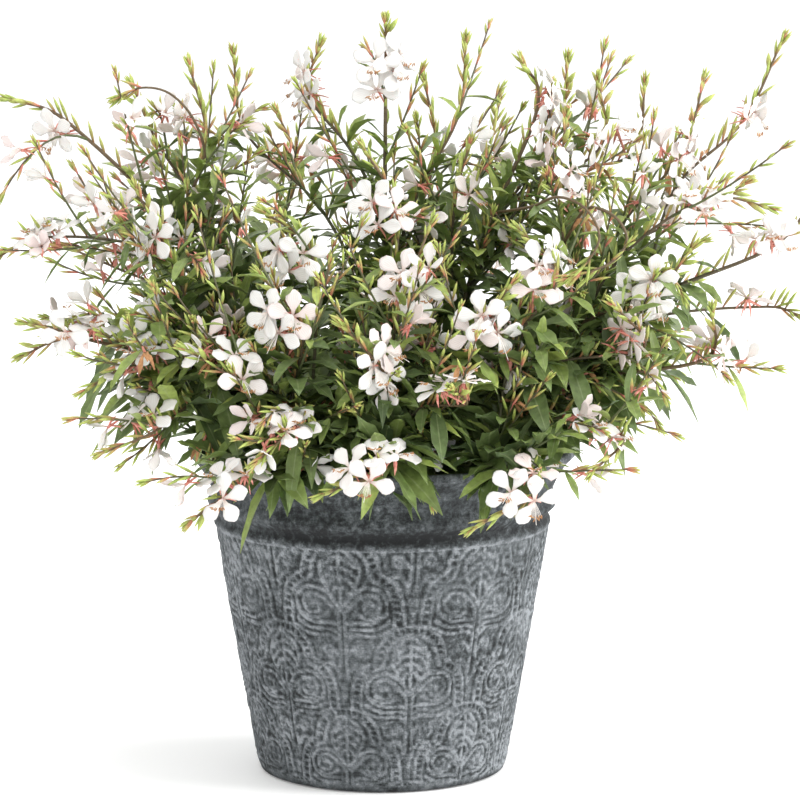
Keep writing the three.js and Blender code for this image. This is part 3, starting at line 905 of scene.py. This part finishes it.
EXTRA_MAIN_LEAVES = 100
EXTRA_BRANCH_LEAVES = 32
TIP_BUDS = 14
SIDE_SHOOTS = 5
SHOOT_FOOT_LEAVES = 3
COMB_BUDS = 12
SHOOT_BUDS = 11
LEAFY_SHOOTS = 7
SHOOT_LEAVES = 13
BUD_PLACES, BUD_SHAPE = [0, 0.25, 0.5, 0.75, 1], [0.35, 0.75, 1, 0.72, 0.1]

# The share of a main wand's rod that stands in its hole in the soil.
SUNK_SHARE = 0.033

# Left of these places the plant is fuller, with more shoots and then more blooms.
FULL_SIDE, FULLEST_SIDE, MORE_SHOOTS = -90, -122, 3

# Thin bare stems that curl: the wand each grows from, the place on it, and the places it goes through.
CURLED_STEMS = {
    13: (0.45, [(-92, -4, 325), (-98, -8, 345), (-110, -10, 358), (-124, -12, 361), (-136, -13, 356)]),
    80: (0.57, [
        (76, -60, 304), (88, -92, 312), (101, -108, 308),
        (108, -114, 295), (103, -114, 283), (96, -112, 275),
    ]),
    63: (0.6, [
        (103, -80, 305), (116, -100, 303), (122, -106, 293),
        (117, -108, 283), (105, -110, 277), (92, -110, 273),
    ]),
}

# What leaves and shoots keep clear of: the wall and rim of the pot, the soil, and the pot's front,
# where they hang lower in the middle than at the sides.
POT_INSIDE = [(59, 8), (81, 134), (84.5, 152), (97, 172)]
WALL_CLEAR, WALL_REACH = 2, 90
RIM_TOP, RIM_REACH = 176, 106
SOIL_REACH, SOIL_CLEAR = 80, 1.5
LOWEST_FROM, LOWEST_LEAF = (70, 110), (150, 174)

# The rounded mass of foliage, and the heights where its leaves change from large to slim.
DOME_REACH, DOME_FOOT, DOME_RISE = 178, 190, 158
LOW_LEAVES, HIGH_LEAVES = (170, 290), (250, 330)


def is_free(point):
    """Whether a place is clear of the pot's wall and of the soil."""
    radius = math.hypot(point.x, point.y)
    radii, heights = zip(*POT_INSIDE)
    if point.z < RIM_TOP and graded(point.z, heights, radii) - WALL_CLEAR < radius < RIM_REACH:
        return False
    if radius > RIM_REACH and point.z < graded(abs(point.x), LOWEST_FROM, LOWEST_LEAF):
        return False
    return radius > WALL_REACH or point.z > soil_height(min(radius, SOIL_REACH)) + SOIL_CLEAR


def under_dome(point, loose=0.0):
    """Whether a place lies within the rounded mass of foliage, which the flowering wands overtop."""
    out = math.hypot(point.x, point.y) / DOME_REACH
    above = (point.z - DOME_FOOT) / DOME_RISE
    return out**2 + above**2 < 1 + loose or point.z < DOME_FOOT


def in_reach(point):
    """Whether a place lies within the plant's own spread."""
    (x0, y0, _), (x1, y1, z1) = cad_box
    return x0 < point.x * MM < x1 and y0 < point.y * MM < y1 and point.z * MM < z1


def low_share(point):
    """1 near the pot, where the leaves are larger and darker, to 0 high in the plant."""
    return graded(point.z, LOW_LEAVES, [1, 0])


def high_share(point):
    """0 in the plant's lower half to 1 at its top, where the leaves are slim and fresh."""
    return graded(point.z, HIGH_LEAVES, [0, 1])


def leaf_way(wand, t, turn, splay):
    """A direction that leaves a wand at an angle, at a turn round it from its upper side."""
    along = wand.smooth(t)[1]
    upward = squared(UP, along)
    return leaning(along, upward, along.cross(upward), turn, splay)


def away_from(line, s, turn, splay):
    """A direction that leaves a spine sideways, at a turn round it."""
    ahead = (line(min(1, s + 0.05))[0] - line(max(0, s - 0.05))[0]).normalized()
    return leaning(ahead, *line(s)[1:], turn, splay).normalized()


def dress_wand(bunch, wand, corners, count, key, main):
    base = STEM_RADIUS if main else WAND_RADIUS

    def spine(s):
        if main and s < SUNK_SHARE + 0.001:
            sunk = HOLE_DEPTH - 0.5 if s < 0.01 else 0
            return wand.curve(0) - UP * sunk, Vector((1, 0, 0)), Vector((0, -1, 0))
        return wand.spine((s - SUNK_SHARE) / (1 - SUNK_SHARE) if main else s)

    def width(s):
        return lerp(base, TIP_RADIUS, s**WAND_TAPER) if s < 0.99 else 0.3

    bunch.along(wand_rod, spine, width, lambda s: min(1, 0.1 + s + 0.2 * draw(key, 9)))

    for t, direction, length, droop in leafed(wand, corners, key, main):
        start = wand.at(t) + wand.off(t)
        tone = 0.2 + 0.5 * draw(key, int(1000 * t), 11)
        bunch.along(leaf, leaf_spine(start, direction, length, droop), length, tone)

    for t, direction, length in budded(wand, corners, count, key):
        start = wand.at(t) + wand.off(t)
        bud(bunch, start, direction, length, BUD_RADIUS, 0.35 * draw(key, int(100 * t), 12))

    more_leaves(bunch, wand, key, EXTRA_MAIN_LEAVES if main else EXTRA_BRANCH_LEAVES)
    tip_buds(bunch, wand, key)
    comb_buds(bunch, wand, key, count)
    side_shoots(bunch, wand, key, SIDE_SHOOTS)
    leafy_shoots(bunch, wand, key, LEAFY_SHOOTS if main else 1)


def more_leaves(bunch, wand, key, count):
    for j in range(count):
        t = lerp(0.02, 0.66, ((j + draw(key, j, 21)) / count) ** 0.85)
        turn = GOLDEN * j + draw(key, j, 22)
        direction = leaf_way(wand, t, turn, math.radians(35 + 45 * draw(key, j, 23)))
        start = wand.curve(t)
        low, high = low_share(start), high_share(start)
        length = (21 + 22 * draw(key, j, 24)) * (1.15 - 0.6 * t) * lerp(0.95, 1.3, low) * lerp(1, 0.8, high)
        droop = 0.05 + 0.4 * draw(key, j, 25)
        spine = leaf_spine(start, direction, length, droop, 1.6 * (draw(key, j, 30) - 0.5))
        tip = spine(1)[0]
        if not (is_free(tip) and is_free(spine(0.5)[0]) and under_dome(tip, 0.25 * draw(key, j, 20))):
            continue
        fresh = 0.35 if draw(key, j, 27) > lerp(0.75, 0.85, low) else 0
        tone = lerp(0.14, 0.02, low) + 0.25 * high + 0.5 * draw(key, j, 26) + fresh
        width = length * (0.75 + 0.4 * draw(key, j, 29)) * lerp(1, 0.65, high)
        bunch.along(wavy_leaf if draw(key, j, 28) > 0.4 else leaf, spine, width, tone)


def bud(bunch, start, direction, length, radius, rosy):
    def width(s):
        return radius * graded(s, BUD_PLACES, BUD_SHAPE)

    bunch.along(bud_rod, straight(start, direction, length, 0.06), width, rosy)


def tip_buds(bunch, wand, key):
    """The dense young buds round the last of a wand."""
    for j in range(TIP_BUDS):
        share = (j + 0.5) / TIP_BUDS
        t = graded(share, [0, 0.35, 0.45, 1], [0.78, 0.92, 0.965, 0.998])
        turn = GOLDEN * j + 0.9 * draw(key, j, 31)
        direction = leaf_way(wand, t, turn, math.radians(lerp(26, 12, share)))
        length = lerp(12, 6, share) * (0.85 + 0.3 * draw(key, j, 33))
        bud(bunch, wand.curve(t), direction, length, lerp(0.85, 0.65, share), 0.9 * draw(key, j, 32) ** 3)
    point, along, _, _ = wand.smooth(0.945)
    bud(bunch, point, along, (wand.curve(1) - point).length, BUD_RADIUS * 0.8, 0.15)


def comb_buds(bunch, wand, key, count):
    """Buds and young pods that stand up one by one along the outer wand."""
    for j in range(COMB_BUDS):
        t = lerp(0.48, 0.8 if count > 1 else 0.88, (j + 0.6 * draw(key, j, 91)) / COMB_BUDS)
        point, along, _, across = wand.smooth(t)
        way = (along * 0.55 + UP * 0.9 + across * 0.5 * (draw(key, j, 92) - 0.5)).normalized()
        if is_free(point + way * 12):
            bud(bunch, point, way, 11 + 5 * draw(key, j, 93), 0.95, 0.8 * draw(key, j, 94) ** 2)


def side_shoot(bunch, line, key):
    """A thin shoot that ends in a spike of buds, now and then with a bloom opening or spent below them."""
    bunch.along(shoot_rod, line, lambda s: lerp(0.75, 0.4, s), lambda s: 0.2 + 0.65 * s)
    for j in range(SHOOT_FOOT_LEAVES):
        s = 0.1 + 0.15 * j
        way = away_from(line, s, GOLDEN * j + draw(key, j, 51), 0.95)
        size = (17 + 12 * draw(key, j, 52)) * (1.1 - 0.5 * s)
        if under_dome(line(s)[0], 0.3):
            bunch.along(leaf, leaf_spine(line(s)[0], way, size, 0.25), size, 0.35 + 0.45 * draw(key, j, 53))
    for j in range(SHOOT_BUDS):
        share = (j + 0.5) / SHOOT_BUDS
        s = graded(share, [0, 0.5, 0.6, 1], [0.42, 0.82, 0.93, 1])
        way = away_from(line, s, GOLDEN * j + draw(key, j, 54), math.radians(lerp(30, 8, share)))
        size = lerp(13, 6, share) * (0.85 + 0.3 * draw(key, j, 55))
        bud(bunch, line(s)[0], way, size, lerp(0.9, 0.62, share), 0.9 * draw(key, j, 56) ** 2)
    turn, side = 6 * draw(key, 57), line(0)[0].x
    start, way = line(0.48)[0], away_from(line, 0.48, turn, 0.8)
    if side < FULLEST_SIDE:
        opening_bloom(bunch, line(0.62)[0], away_from(line, 0.62, turn + 2.5, 0.8), key + 5000)
    if draw(key, 58) > (0.15 if side < FULL_SIDE else 0.5):
        opening_bloom(bunch, start, way, key)
    elif draw(key, 59) > 0.7:
        spent_bloom(bunch, start, way, key)


def opening_bloom(bunch, start, direction, key):
    """A bloom whose petals still stand together."""
    bunch.along(tube_rod, straight(start, direction, 7, 0.03), lambda s: 0.5 + 0.4 * s * s)
    top = start + direction * 6.8
    level = direction.orthogonal().normalized()
    for k in range(4):
        out = turned(level, direction, k * math.pi / 2 + 0.5 * draw(key, k, 71))
        way = (direction + out * (0.3 + 0.5 * draw(key, 75) + 0.25 * draw(key, k, 72))).normalized()
        side = direction.cross(out)

        def spine(s):
            return top + way * (11.5 * s) + out * (2.5 * s * s), side, side.cross(way)

        bunch.along(petal if k % 2 else wavy_petal, spine, 10.5, 0.5 * draw(key, 70) ** 2)
        fall = (out * 0.7 - direction).normalized()
        bunch.along(sepal, straight(top - direction * 0.6, fall, 7, 0.1), 10)


def spent_bloom(bunch, start, direction, key):
    """A bloom gone by, its petals shrunk and hanging."""
    bunch.along(tube_rod, straight(start, direction, 7, 0.1), lambda s: 0.5 + 0.2 * s)
    top = start + direction * 6.8 - UP * 0.6
    for k in range(3):
        out = turned(direction.orthogonal(), direction, 2 * k)
        way = (direction * 0.5 - UP * (0.5 + 0.5 * draw(key, k, 73)) + out * 0.4).normalized()
        bunch.along(spent_blade, straight(top, way, 9 + 3 * draw(key, k, 74), 0.1), 9)


def stands_free(line):
    """Whether a shoot stays clear of pot and soil and within the plant's spread."""
    return all(is_free(line(s)[0]) for s in (0.4, 0.7, 1.1)) and in_reach(line(1.1)[0])


def side_shoots(bunch, wand, key, count):
    count += MORE_SHOOTS if wand.curve(1).x < FULL_SIDE else 0
    for j in range(count):
        t = lerp(0.25, 0.74, (j + draw(key, j, 61)) / count)
        turn = GOLDEN * (j + key) + draw(key, j, 62)
        direction = (leaf_way(wand, t, turn, math.radians(38)) + UP * 0.25).normalized()
        length = 40 + 40 * draw(key, j, 63)
        line = straight(wand.curve(t), direction, length, lerp(-0.3, 1.1, draw(key, j, 64) ** 2.5))
        if stands_free(line):
            side_shoot(bunch, line, 10 * key + j)


def leafy_shoots(bunch, wand, key, count):
    """Short shoots with leaves to their tips, which fill the plant between its wands."""
    for j in range(count):
        t = lerp(0.08, 0.5, (j + draw(key, j, 81)) / count)
        direction = (leaf_way(wand, t, GOLDEN * (j + 2 * key), math.radians(50)) + UP * 0.1).normalized()
        line = straight(wand.curve(t), direction, 36 + 34 * draw(key, j, 82), -0.1)
        if not (stands_free(line) and under_dome(line(1)[0], 0.1)):
            continue
        bunch.along(shoot_rod, line, lambda s: lerp(0.85, 0.5, s), 0.3)
        for k in range(SHOOT_LEAVES):
            s = lerp(0.1, 1, (k + 0.5) / SHOOT_LEAVES)
            start, way = line(s)[0], away_from(line, s, GOLDEN * k + draw(key, j, k, 83), lerp(1.1, 0.5, s))
            low, high = low_share(start), high_share(start)
            size = (27 + 14 * draw(key, j, k, 84)) * lerp(1, 0.5, s * s)
            size = size * lerp(0.95, 1.25, low) * lerp(1, 0.8, high)
            droop, twist = 0.15 + 0.3 * draw(key, j, k, 85), 1.4 * (draw(key, j, k, 86) - 0.5)
            spine = leaf_spine(start, way, size, droop, twist)
            if is_free(spine(1)[0]) and under_dome(spine(1)[0], 0.2):
                tone = lerp(0.15 + 0.25 * high + 0.35 * draw(key, j, k, 87), lerp(0.9, 0.6, low), s**3)
                width = size * (0.8 + 0.3 * draw(key, j, k, 88)) * lerp(1, 0.65, high)
                bunch.along(wavy_leaf if k % 3 else leaf, spine, width, tone)


def curled_stem(bunch, points, key):
    line = Wand([Vector(point) for point in points], [0])
    bunch.along(wand_rod, line.spine, lambda s: lerp(0.85, 0.5, s), 0.95)
    tip_buds(bunch, line, key)


def dressed_stems(wands, blooms):
    for k in range(len(STEMS)):
        stem = f"stem_{k + 1:02d}"
        bunch = Bunch(stem + "_leafy")
        for wand, owner, corners, count, key, main in wands:
            if owner == stem:
                dress_wand(bunch, wand, corners, count, key, main)
                if key in CURLED_STEMS:
                    t, points = CURLED_STEMS[key]
                    curled_stem(bunch, [wand.curve(t), *points], key + 500)
        for place in blooms.get(stem, []):
            dress_bloom(bunch, place)
        piece = bunch.joined()
        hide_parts(stem)
        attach(piece, "root")


# Blooms

TUBE_SHARE = (0.55, 0.45)
SEPAL_LENGTH, SEPAL_SIZE = 8.5, 10
THREADS, STYLE = 9, 4
STYLE_LENGTH, THREAD_LENGTH = 12.5, 9
STYLE_RADIUS, THREAD_RADIUS, ANTHER_RADIUS = 0.17, 0.13, 0.36


def dress_bloom(bunch, place):
    key = place["key"]
    centre, facing, up = place["centre"], place["facing"], place["up"]
    for k, angle in enumerate(PETAL_ANGLES):
        way = turned(up, facing, angle + 0.08 * (draw(key, k, 41) - 0.5))
        side = way.cross(facing)
        curl = 0.6 + 0.8 * draw(key, k, 42)

        def spine(s):
            lift = PETAL_CUP * curl * (1.6 * s - 0.75 * s * s)
            point = centre + way * (s * PETAL_LENGTH) + facing * lift
            along = (way * PETAL_LENGTH + facing * PETAL_CUP * curl * (1.6 - 1.5 * s)).normalized()
            return point, side, side.cross(along)

        shape = wavy_petal if draw(key, k, 43) > 0.5 else petal
        bunch.along(shape, spine, PETAL_LENGTH * (0.94 + 0.12 * draw(key, k, 44)), 0.45 * draw(key, 40) ** 4)

    foot = place["wand"].curve(place["t"])
    way = centre - facing * 0.6 - foot
    low, rise = TUBE_SHARE
    bunch.along(tube_rod, straight(foot, way.normalized(), way.length, 0.03), lambda s: low + rise * s * s)

    for k in range(4):
        turn = PETAL_ANGLES[0] + (k + 0.5) * math.pi / 2 + 0.3 * (draw(key, k, 45) - 0.5)
        out = turned(up, facing, turn)
        start = centre - facing * 0.9 + out * 0.6
        lean = (out * 0.6 - facing * 0.8).normalized()
        sag = out * 0.4 + facing * 0.2 + UP * 0.3
        bunch.along(sepal, straight(start, lean, SEPAL_LENGTH, 0.3, sag), SEPAL_SIZE)

    down = squared(-UP, facing)
    for k in range(THREADS):
        spread = (k - STYLE) * 0.17
        lean = (facing * (0.95 + 0.15 * draw(key, k, 46)) + turned(down, facing, spread) * 0.55).normalized()
        length = (STYLE_LENGTH if k == STYLE else THREAD_LENGTH) + 1.5 * draw(key, k, 47)
        spine = straight(centre + facing * 0.4, lean, length, 0.22)
        bunch.along(thread_rod, spine, STYLE_RADIUS if k == STYLE else THREAD_RADIUS)
        if k != STYLE:
            across = facing.cross(lean)
            level = across.normalized() if across.length > 0.1 else up
            way = turned(level, facing, 2 * draw(key, k, 48))
            anther = straight(spine(1)[0] - way, way, 2)
            bunch.along(anther_rod, anther, lambda s: ANTHER_RADIUS * math.sin(math.pi * (0.12 + 0.76 * s)))


def dressed_blooms(blooms):
    for owner, places in blooms.items():
        if not owner.startswith("blooms"):
            continue
        bunch = Bunch(owner + "_petals")
        for place in places:
            dress_bloom(bunch, place)
        piece = bunch.joined()
        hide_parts(owner)
        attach(piece, "root")


wands = grown()
blooms = bloomed(wands)
dressed_stems(wands, blooms)
dressed_blooms(blooms)
for master in MASTERS:
    bpy.data.objects.remove(master)

# Pot

REPEATS = 7
FRONT_ARCH = math.radians(11.2)
TOP_ARCH = 1.797
ROW_PITCH = 0.584
POT_TURNS = 500
WALL_STEP = 0.95
RIM_STEP = 2
RIDGE_HEIGHT = 1.1
GROUND_DEPTH = 0.3
GRIT_HEIGHT = 0.34
EDGE_FADE = 2.5
WASH_REACH = 0.021

# The pot's turned profile: radius and height.
FOOT_EDGE, WALL_TOP = (65.8, 4), (87.9, 131)
FOOT = [(61.5, 0), (64.6, 1), FOOT_EDGE]
RIM = [
    WALL_TOP, (88.7, 132.4), (88.6, 134.2), (87.4, 136.2), (87.6, 138), (89.2, 139.8), (91.4, 141.8),
    (92, 143.8), (91.4, 146), (90.2, 148.6), (90, 151), (91.8, 155), (94.2, 159.6), (98, 165),
    (101.6, 168.4), (102.1, 170.4), (101, 171.9),
]
INSIDE = [(98.8, 172), (96.6, 170.6), (88.6, 158), (84.5, 150), (81, 134), (59, 8)]
FLOOR_HEIGHT = 8

# How rubbed the plain parts of the pot are, and how dark: a height on the pot, and the amount there. The
# dark amount grows towards the bottom of the foot; on the rim's groove and band it is painted shade, where
# the bulge and the foliage above shade the pot.
RUBBED = [
    (0, 0), (2, 0), (4, 0.6), (129, 0.6), (131, 0.8), (132.5, 0.5), (135, 0), (140, 0), (144, 0.3),
    (150, 0.1), (168, 0.2), (172, 0.8),
]
WASH_AND_PAINTED_SHADE = [
    (0, 1), (1.5, 0.9), (4, 0.3), (130, 0.3), (131, 0), (133, 0.6), (136, 1.3), (140, 1.1), (144, 0.7),
    (150, 1), (165, 0.8), (172, 0.35),
]

# The ornament's lines, drawn for one arch: radians out from its middle, and down from its top.
ARCH = [
    (0, 0), (0.06, 0.008), (0.12, 0.034), (0.175, 0.079), (0.215, 0.14), (0.233, 0.2), (0.236, 0.238),
    (0.262, 0.252), (0.31, 0.285), (0.352, 0.333), (0.38, 0.4), (0.392, 0.48), (0.397, 0.6), (0.4, 0.75),
]
ARCH_FOOT = 0.4
ARCH_BAND = 0.06
LADDER = 0.049
LEAF_EDGE = [
    (0, 0.07), (0.035, 0.1), (0.085, 0.15), (0.118, 0.205), (0.12, 0.26), (0.098, 0.325), (0.055, 0.395),
    (0.012, 0.475),
]
LEAF_RIB = [(0, 0.08), (0, 0.46)]
CHEVRONS = [
    [(0, 0.145), (0.05, 0.155), (0.09, 0.2)],
    [(0, 0.205), (0.05, 0.217), (0.1, 0.27)],
    [(0, 0.265), (0.042, 0.277), (0.085, 0.335)],
    [(0, 0.325), (0.035, 0.34), (0.055, 0.385)],
]
SCROLL = [
    (0.0, 0.487), (0.03, 0.44), (0.07, 0.385), (0.12, 0.345), (0.18, 0.33), (0.24, 0.347), (0.283, 0.392),
    (0.297, 0.45), (0.28, 0.51), (0.235, 0.553), (0.175, 0.572), (0.1, 0.566), (0.04, 0.575),
]
SCROLL_LINES = [
    [(0.02, 0.505), (0.075, 0.44), (0.12, 0.395), (0.18, 0.374), (0.228, 0.392), (0.252, 0.44),
     (0.236, 0.492), (0.19, 0.518), (0.148, 0.5), (0.138, 0.462), (0.162, 0.436), (0.19, 0.448)],
    [(0.09, 0.5), (0.13, 0.535), (0.19, 0.545), (0.245, 0.52)],
    [(0.3, 0.56), (0.23, 0.605), (0.15, 0.615), (0.075, 0.6), (0.035, 0.63)],
    [(0.33, 0.6), (0.25, 0.648), (0.16, 0.655), (0.08, 0.64), (0.03, 0.68)],
]
SCROLL_DISC, DISC_RADIUS = (0.185, 0.45), 0.12
STEM_LINE = [(0.02, 0.5), (0.019, 0.7), (0.02, 0.86), (0.034, 0.94)]
CURLS = [
    [(0.03, 0.79), (0.06, 0.745), (0.1, 0.722), (0.128, 0.74), (0.122, 0.775), (0.09, 0.785),
     (0.078, 0.762), (0.098, 0.75)],
    [(0.04, 0.9), (0.075, 0.852), (0.12, 0.845), (0.142, 0.875), (0.118, 0.9), (0.1, 0.882)],
]


def steps_along(points, step):
    fine = [points[0]]
    for a, b in zip(points, points[1:]):
        count = max(1, round(math.dist(a, b) / step))
        fine += [(lerp(a[0], b[0], k / count), lerp(a[1], b[1], k / count)) for k in range(1, count + 1)]
    return fine


def rounded(points, times=2):
    """Corner cutting, so that a drawn line bends smoothly."""
    for _ in range(times):
        cut = [points[0]]
        for a, b in zip(points, points[1:]):
            cut += [(lerp(a[0], b[0], k), lerp(a[1], b[1], k)) for k in (0.25, 0.75)]
        points = cut + [points[-1]]
    return points


def nearest(line, x, y):
    """Distance to a drawn line, and how far along it the nearest place is."""
    best = np.full(x.shape, 9.0)
    place = np.zeros(x.shape)
    start = 0
    for (ax, ay), (bx, by) in zip(line, line[1:]):
        length = math.hypot(bx - ax, by - ay)
        share = np.clip(((x - ax) * (bx - ax) + (y - ay) * (by - ay)) / length**2, 0, 1)
        distance = np.hypot(x - ax - share * (bx - ax), y - ay - share * (by - ay))
        closer = distance < best
        best[closer] = distance[closer]
        place[closer] = start + share[closer] * length
        start += length
    return best, place


def ridge(distance, width):
    return np.exp(-((distance / width) ** 2))


def half_width(line, y, above, below):
    """How far out a drawn outline lies at y, and what holds above its top and below its foot."""
    return np.interp(y, [down for _, down in line], [out for out, _ in line], left=above, right=below)


def arch_width(y):
    return half_width(ARCH, y, -1, ARCH_FOOT)


def motif(x, y):
    """Height of one arch and what stands in it, from 0 for the ground to 1 for the highest line."""
    side = np.abs(x)
    outer, along = nearest(rounded(ARCH), side, y)
    inside = side < arch_width(y)
    height = ridge(outer, 0.013)
    inner = np.where(inside, np.abs(outer - ARCH_BAND), 9)
    height = np.maximum(height, 0.85 * ridge(inner, 0.011))
    rungs = 0.5 + 0.5 * np.cos(2 * math.pi * along / LADDER)
    height = np.maximum(height, 0.72 * rungs**1.5 * ridge(np.where(inside, outer - ARCH_BAND / 2, 9), 0.022))
    body = half_width(LEAF_EDGE, y, 0, 0)
    full = np.clip(1 - side / np.maximum(body, 1e-3), 0, 1)
    height = np.maximum(height, 0.2 * full**0.4 * (body > 0.004))
    disc = np.hypot(side - SCROLL_DISC[0], y - SCROLL_DISC[1])
    height = np.maximum(height, 0.22 * np.clip(1 - (disc / DISC_RADIUS) ** 2, 0, 1) ** 0.5)
    lines = [(LEAF_RIB, 0.95, 0.012), (rounded(SCROLL), 0.95, 0.014), (rounded(STEM_LINE), 0.8, 0.012)]
    lines += [(rounded(line), 0.85, 0.013) for line in [LEAF_EDGE, *CHEVRONS, *SCROLL_LINES]]
    lines += [(rounded(line), 0.8, 0.013) for line in CURLS]
    for line, tall, width in lines:
        height = np.maximum(height, tall * ridge(nearest(line, side, y)[0], width))
    return height


def relief(turn, climb):
    """Height of the raised ornament over turns and climbs: each row of arches lies over the one above."""
    unit = 2 * math.pi / REPEATS
    height = np.zeros_like(turn)
    for row in range(-1, 5):
        offset = FRONT_ARCH + (0 if row % 2 else unit / 2)
        x = (turn - offset + unit / 2) % unit - unit / 2
        y = TOP_ARCH - row * ROW_PITCH - climb
        over = (np.abs(x) < arch_width(y) + 0.02) & (y > -0.02) & (y < 1.2)
        height[over] = motif(x[over], y[over])
    return height


def ripple(places, scale):
    return np.array([noise.noise(Vector(place) * scale) for place in places])


def raise_ornament(piece):
    """Moves the wall's corners in and out by the ornament, and keeps for the finish how high each
    place stands and how much dark wash has settled there; off the wall, that amount is painted shade on the
    rim's groove and band, and darker towards the bottom of the foot."""
    places = corners_of(piece)
    radius = np.hypot(places[:, 0], places[:, 1])
    tall = places[:, 2] / MM
    wall = (tall > FOOT_EDGE[1] + 0.3) & (tall < WALL_TOP[1] - 0.3) & (radius > 64 * MM)
    lean = (WALL_TOP[0] - FOOT_EDGE[0]) / (WALL_TOP[1] - FOOT_EDGE[1])
    on_wall = places[wall]
    turn = np.arctan2(on_wall[:, 0], -on_wall[:, 1]) + 0.008 * ripple(on_wall, 60)
    climb = math.hypot(1, lean) / lean * np.log(radius[wall] / MM / FOOT_EDGE[0])
    climb = climb + 0.008 * ripple(on_wall + 1, 60)
    drawn = relief(turn, climb)
    around = [relief(turn + a * WASH_REACH, climb + b * WASH_REACH) for a, b in product((1, -1), (1, -1))]
    rubbed = np.clip(0.72 + 0.5 * ripple(on_wall + 2, 30) + 0.3 * ripple(on_wall + 3, 90), 0.2, 1.1)
    edge = np.clip(np.minimum(tall[wall] - FOOT_EDGE[1], WALL_TOP[1] - tall[wall]) / EDGE_FADE, 0, 1)
    grit = ripple(on_wall, 150) + 0.7 * ripple(on_wall, 420)
    out = (RIDGE_HEIGHT * drawn * rubbed - GROUND_DEPTH + GRIT_HEIGHT * grit) * edge * MM
    places[wall, :2] *= (1 + out / radius[wall])[:, None]
    height = np.interp(tall, *zip(*RUBBED))
    # Off the wall: darker towards the bottom of the foot, and painted shade on the rim's groove and band,
    # under the bulge and the foliage above.
    wash_and_shade = np.interp(tall, *zip(*WASH_AND_PAINTED_SHADE))
    height[wall] = drawn * rubbed
    wash_and_shade[wall] = np.clip(1.9 * (np.mean(around, axis=0) - drawn), 0, 1)
    piece.data.vertices.foreach_set("co", places.ravel())
    for name, values in (("height", height), ("wash_and_shade", wash_and_shade)):
        piece.data.attributes.new(name, "FLOAT", "POINT")
        piece.data.attributes[name].data.foreach_set("value", values.astype(np.float32))


def spun(name, profile, turns, skin):
    """A closed body turned from its profile of radii and heights."""
    mesh = bpy.data.meshes.new(name)
    edges = [(i, i + 1) for i in range(len(profile) - 1)]
    mesh.from_pydata([(r * MM, 0, z * MM) for r, z in profile], edges, [])
    piece = bpy.data.objects.new(name, mesh)
    bpy.context.collection.objects.link(piece)
    deselect()
    piece.select_set(True)
    bpy.context.view_layer.objects.active = piece
    bpy.ops.object.mode_set(mode="EDIT")
    bpy.ops.mesh.select_all(action="SELECT")
    bpy.ops.mesh.spin(steps=turns, angle=2 * math.pi, center=(0, 0, 0), axis=(0, 0, 1))
    bpy.ops.mesh.select_all(action="SELECT")
    bpy.ops.mesh.remove_doubles(threshold=2e-5)
    bpy.ops.mesh.normals_make_consistent(inside=False)
    bpy.ops.object.mode_set(mode="OBJECT")
    bpy.ops.object.shade_smooth()
    piece.data.materials.append(skin)
    return piece


wall_steps = steps_along([FOOT_EDGE, WALL_TOP], WALL_STEP)[1:]
rim_steps = steps_along(RIM, RIM_STEP)[1:]
profile = [(0, 0), *FOOT, *wall_steps, *rim_steps, *INSIDE, (0, FLOOR_HEIGHT)]
pot = spun("pot_stone", profile, POT_TURNS, STONE)
raise_ornament(pot)
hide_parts("pot")
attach(pot, "root")

# Soil

SOIL_TURNS = 150
SOIL_BASE = [(0, 8.4), (58, 8.4), (79.9, 134)]
SOIL_TOP = [(82.6, 146.4), (62, 147.5), (0, 152)]
CRUMBS_ABOVE = 140


def crumble(piece):
    """Raises lumps and crumbs on top of the soil."""
    for corner in piece.data.vertices:
        if corner.co.z > CRUMBS_ABOVE * MM:
            corner.co.z += 0.0016 * noise.noise(corner.co * 160) + 0.0009 * noise.noise(corner.co * 420)


soil = spun("soil_earth", SOIL_BASE + steps_along(SOIL_TOP, RIM_STEP), SOIL_TURNS, EARTH)
crumble(soil)
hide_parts("soil")
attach(soil, "root")
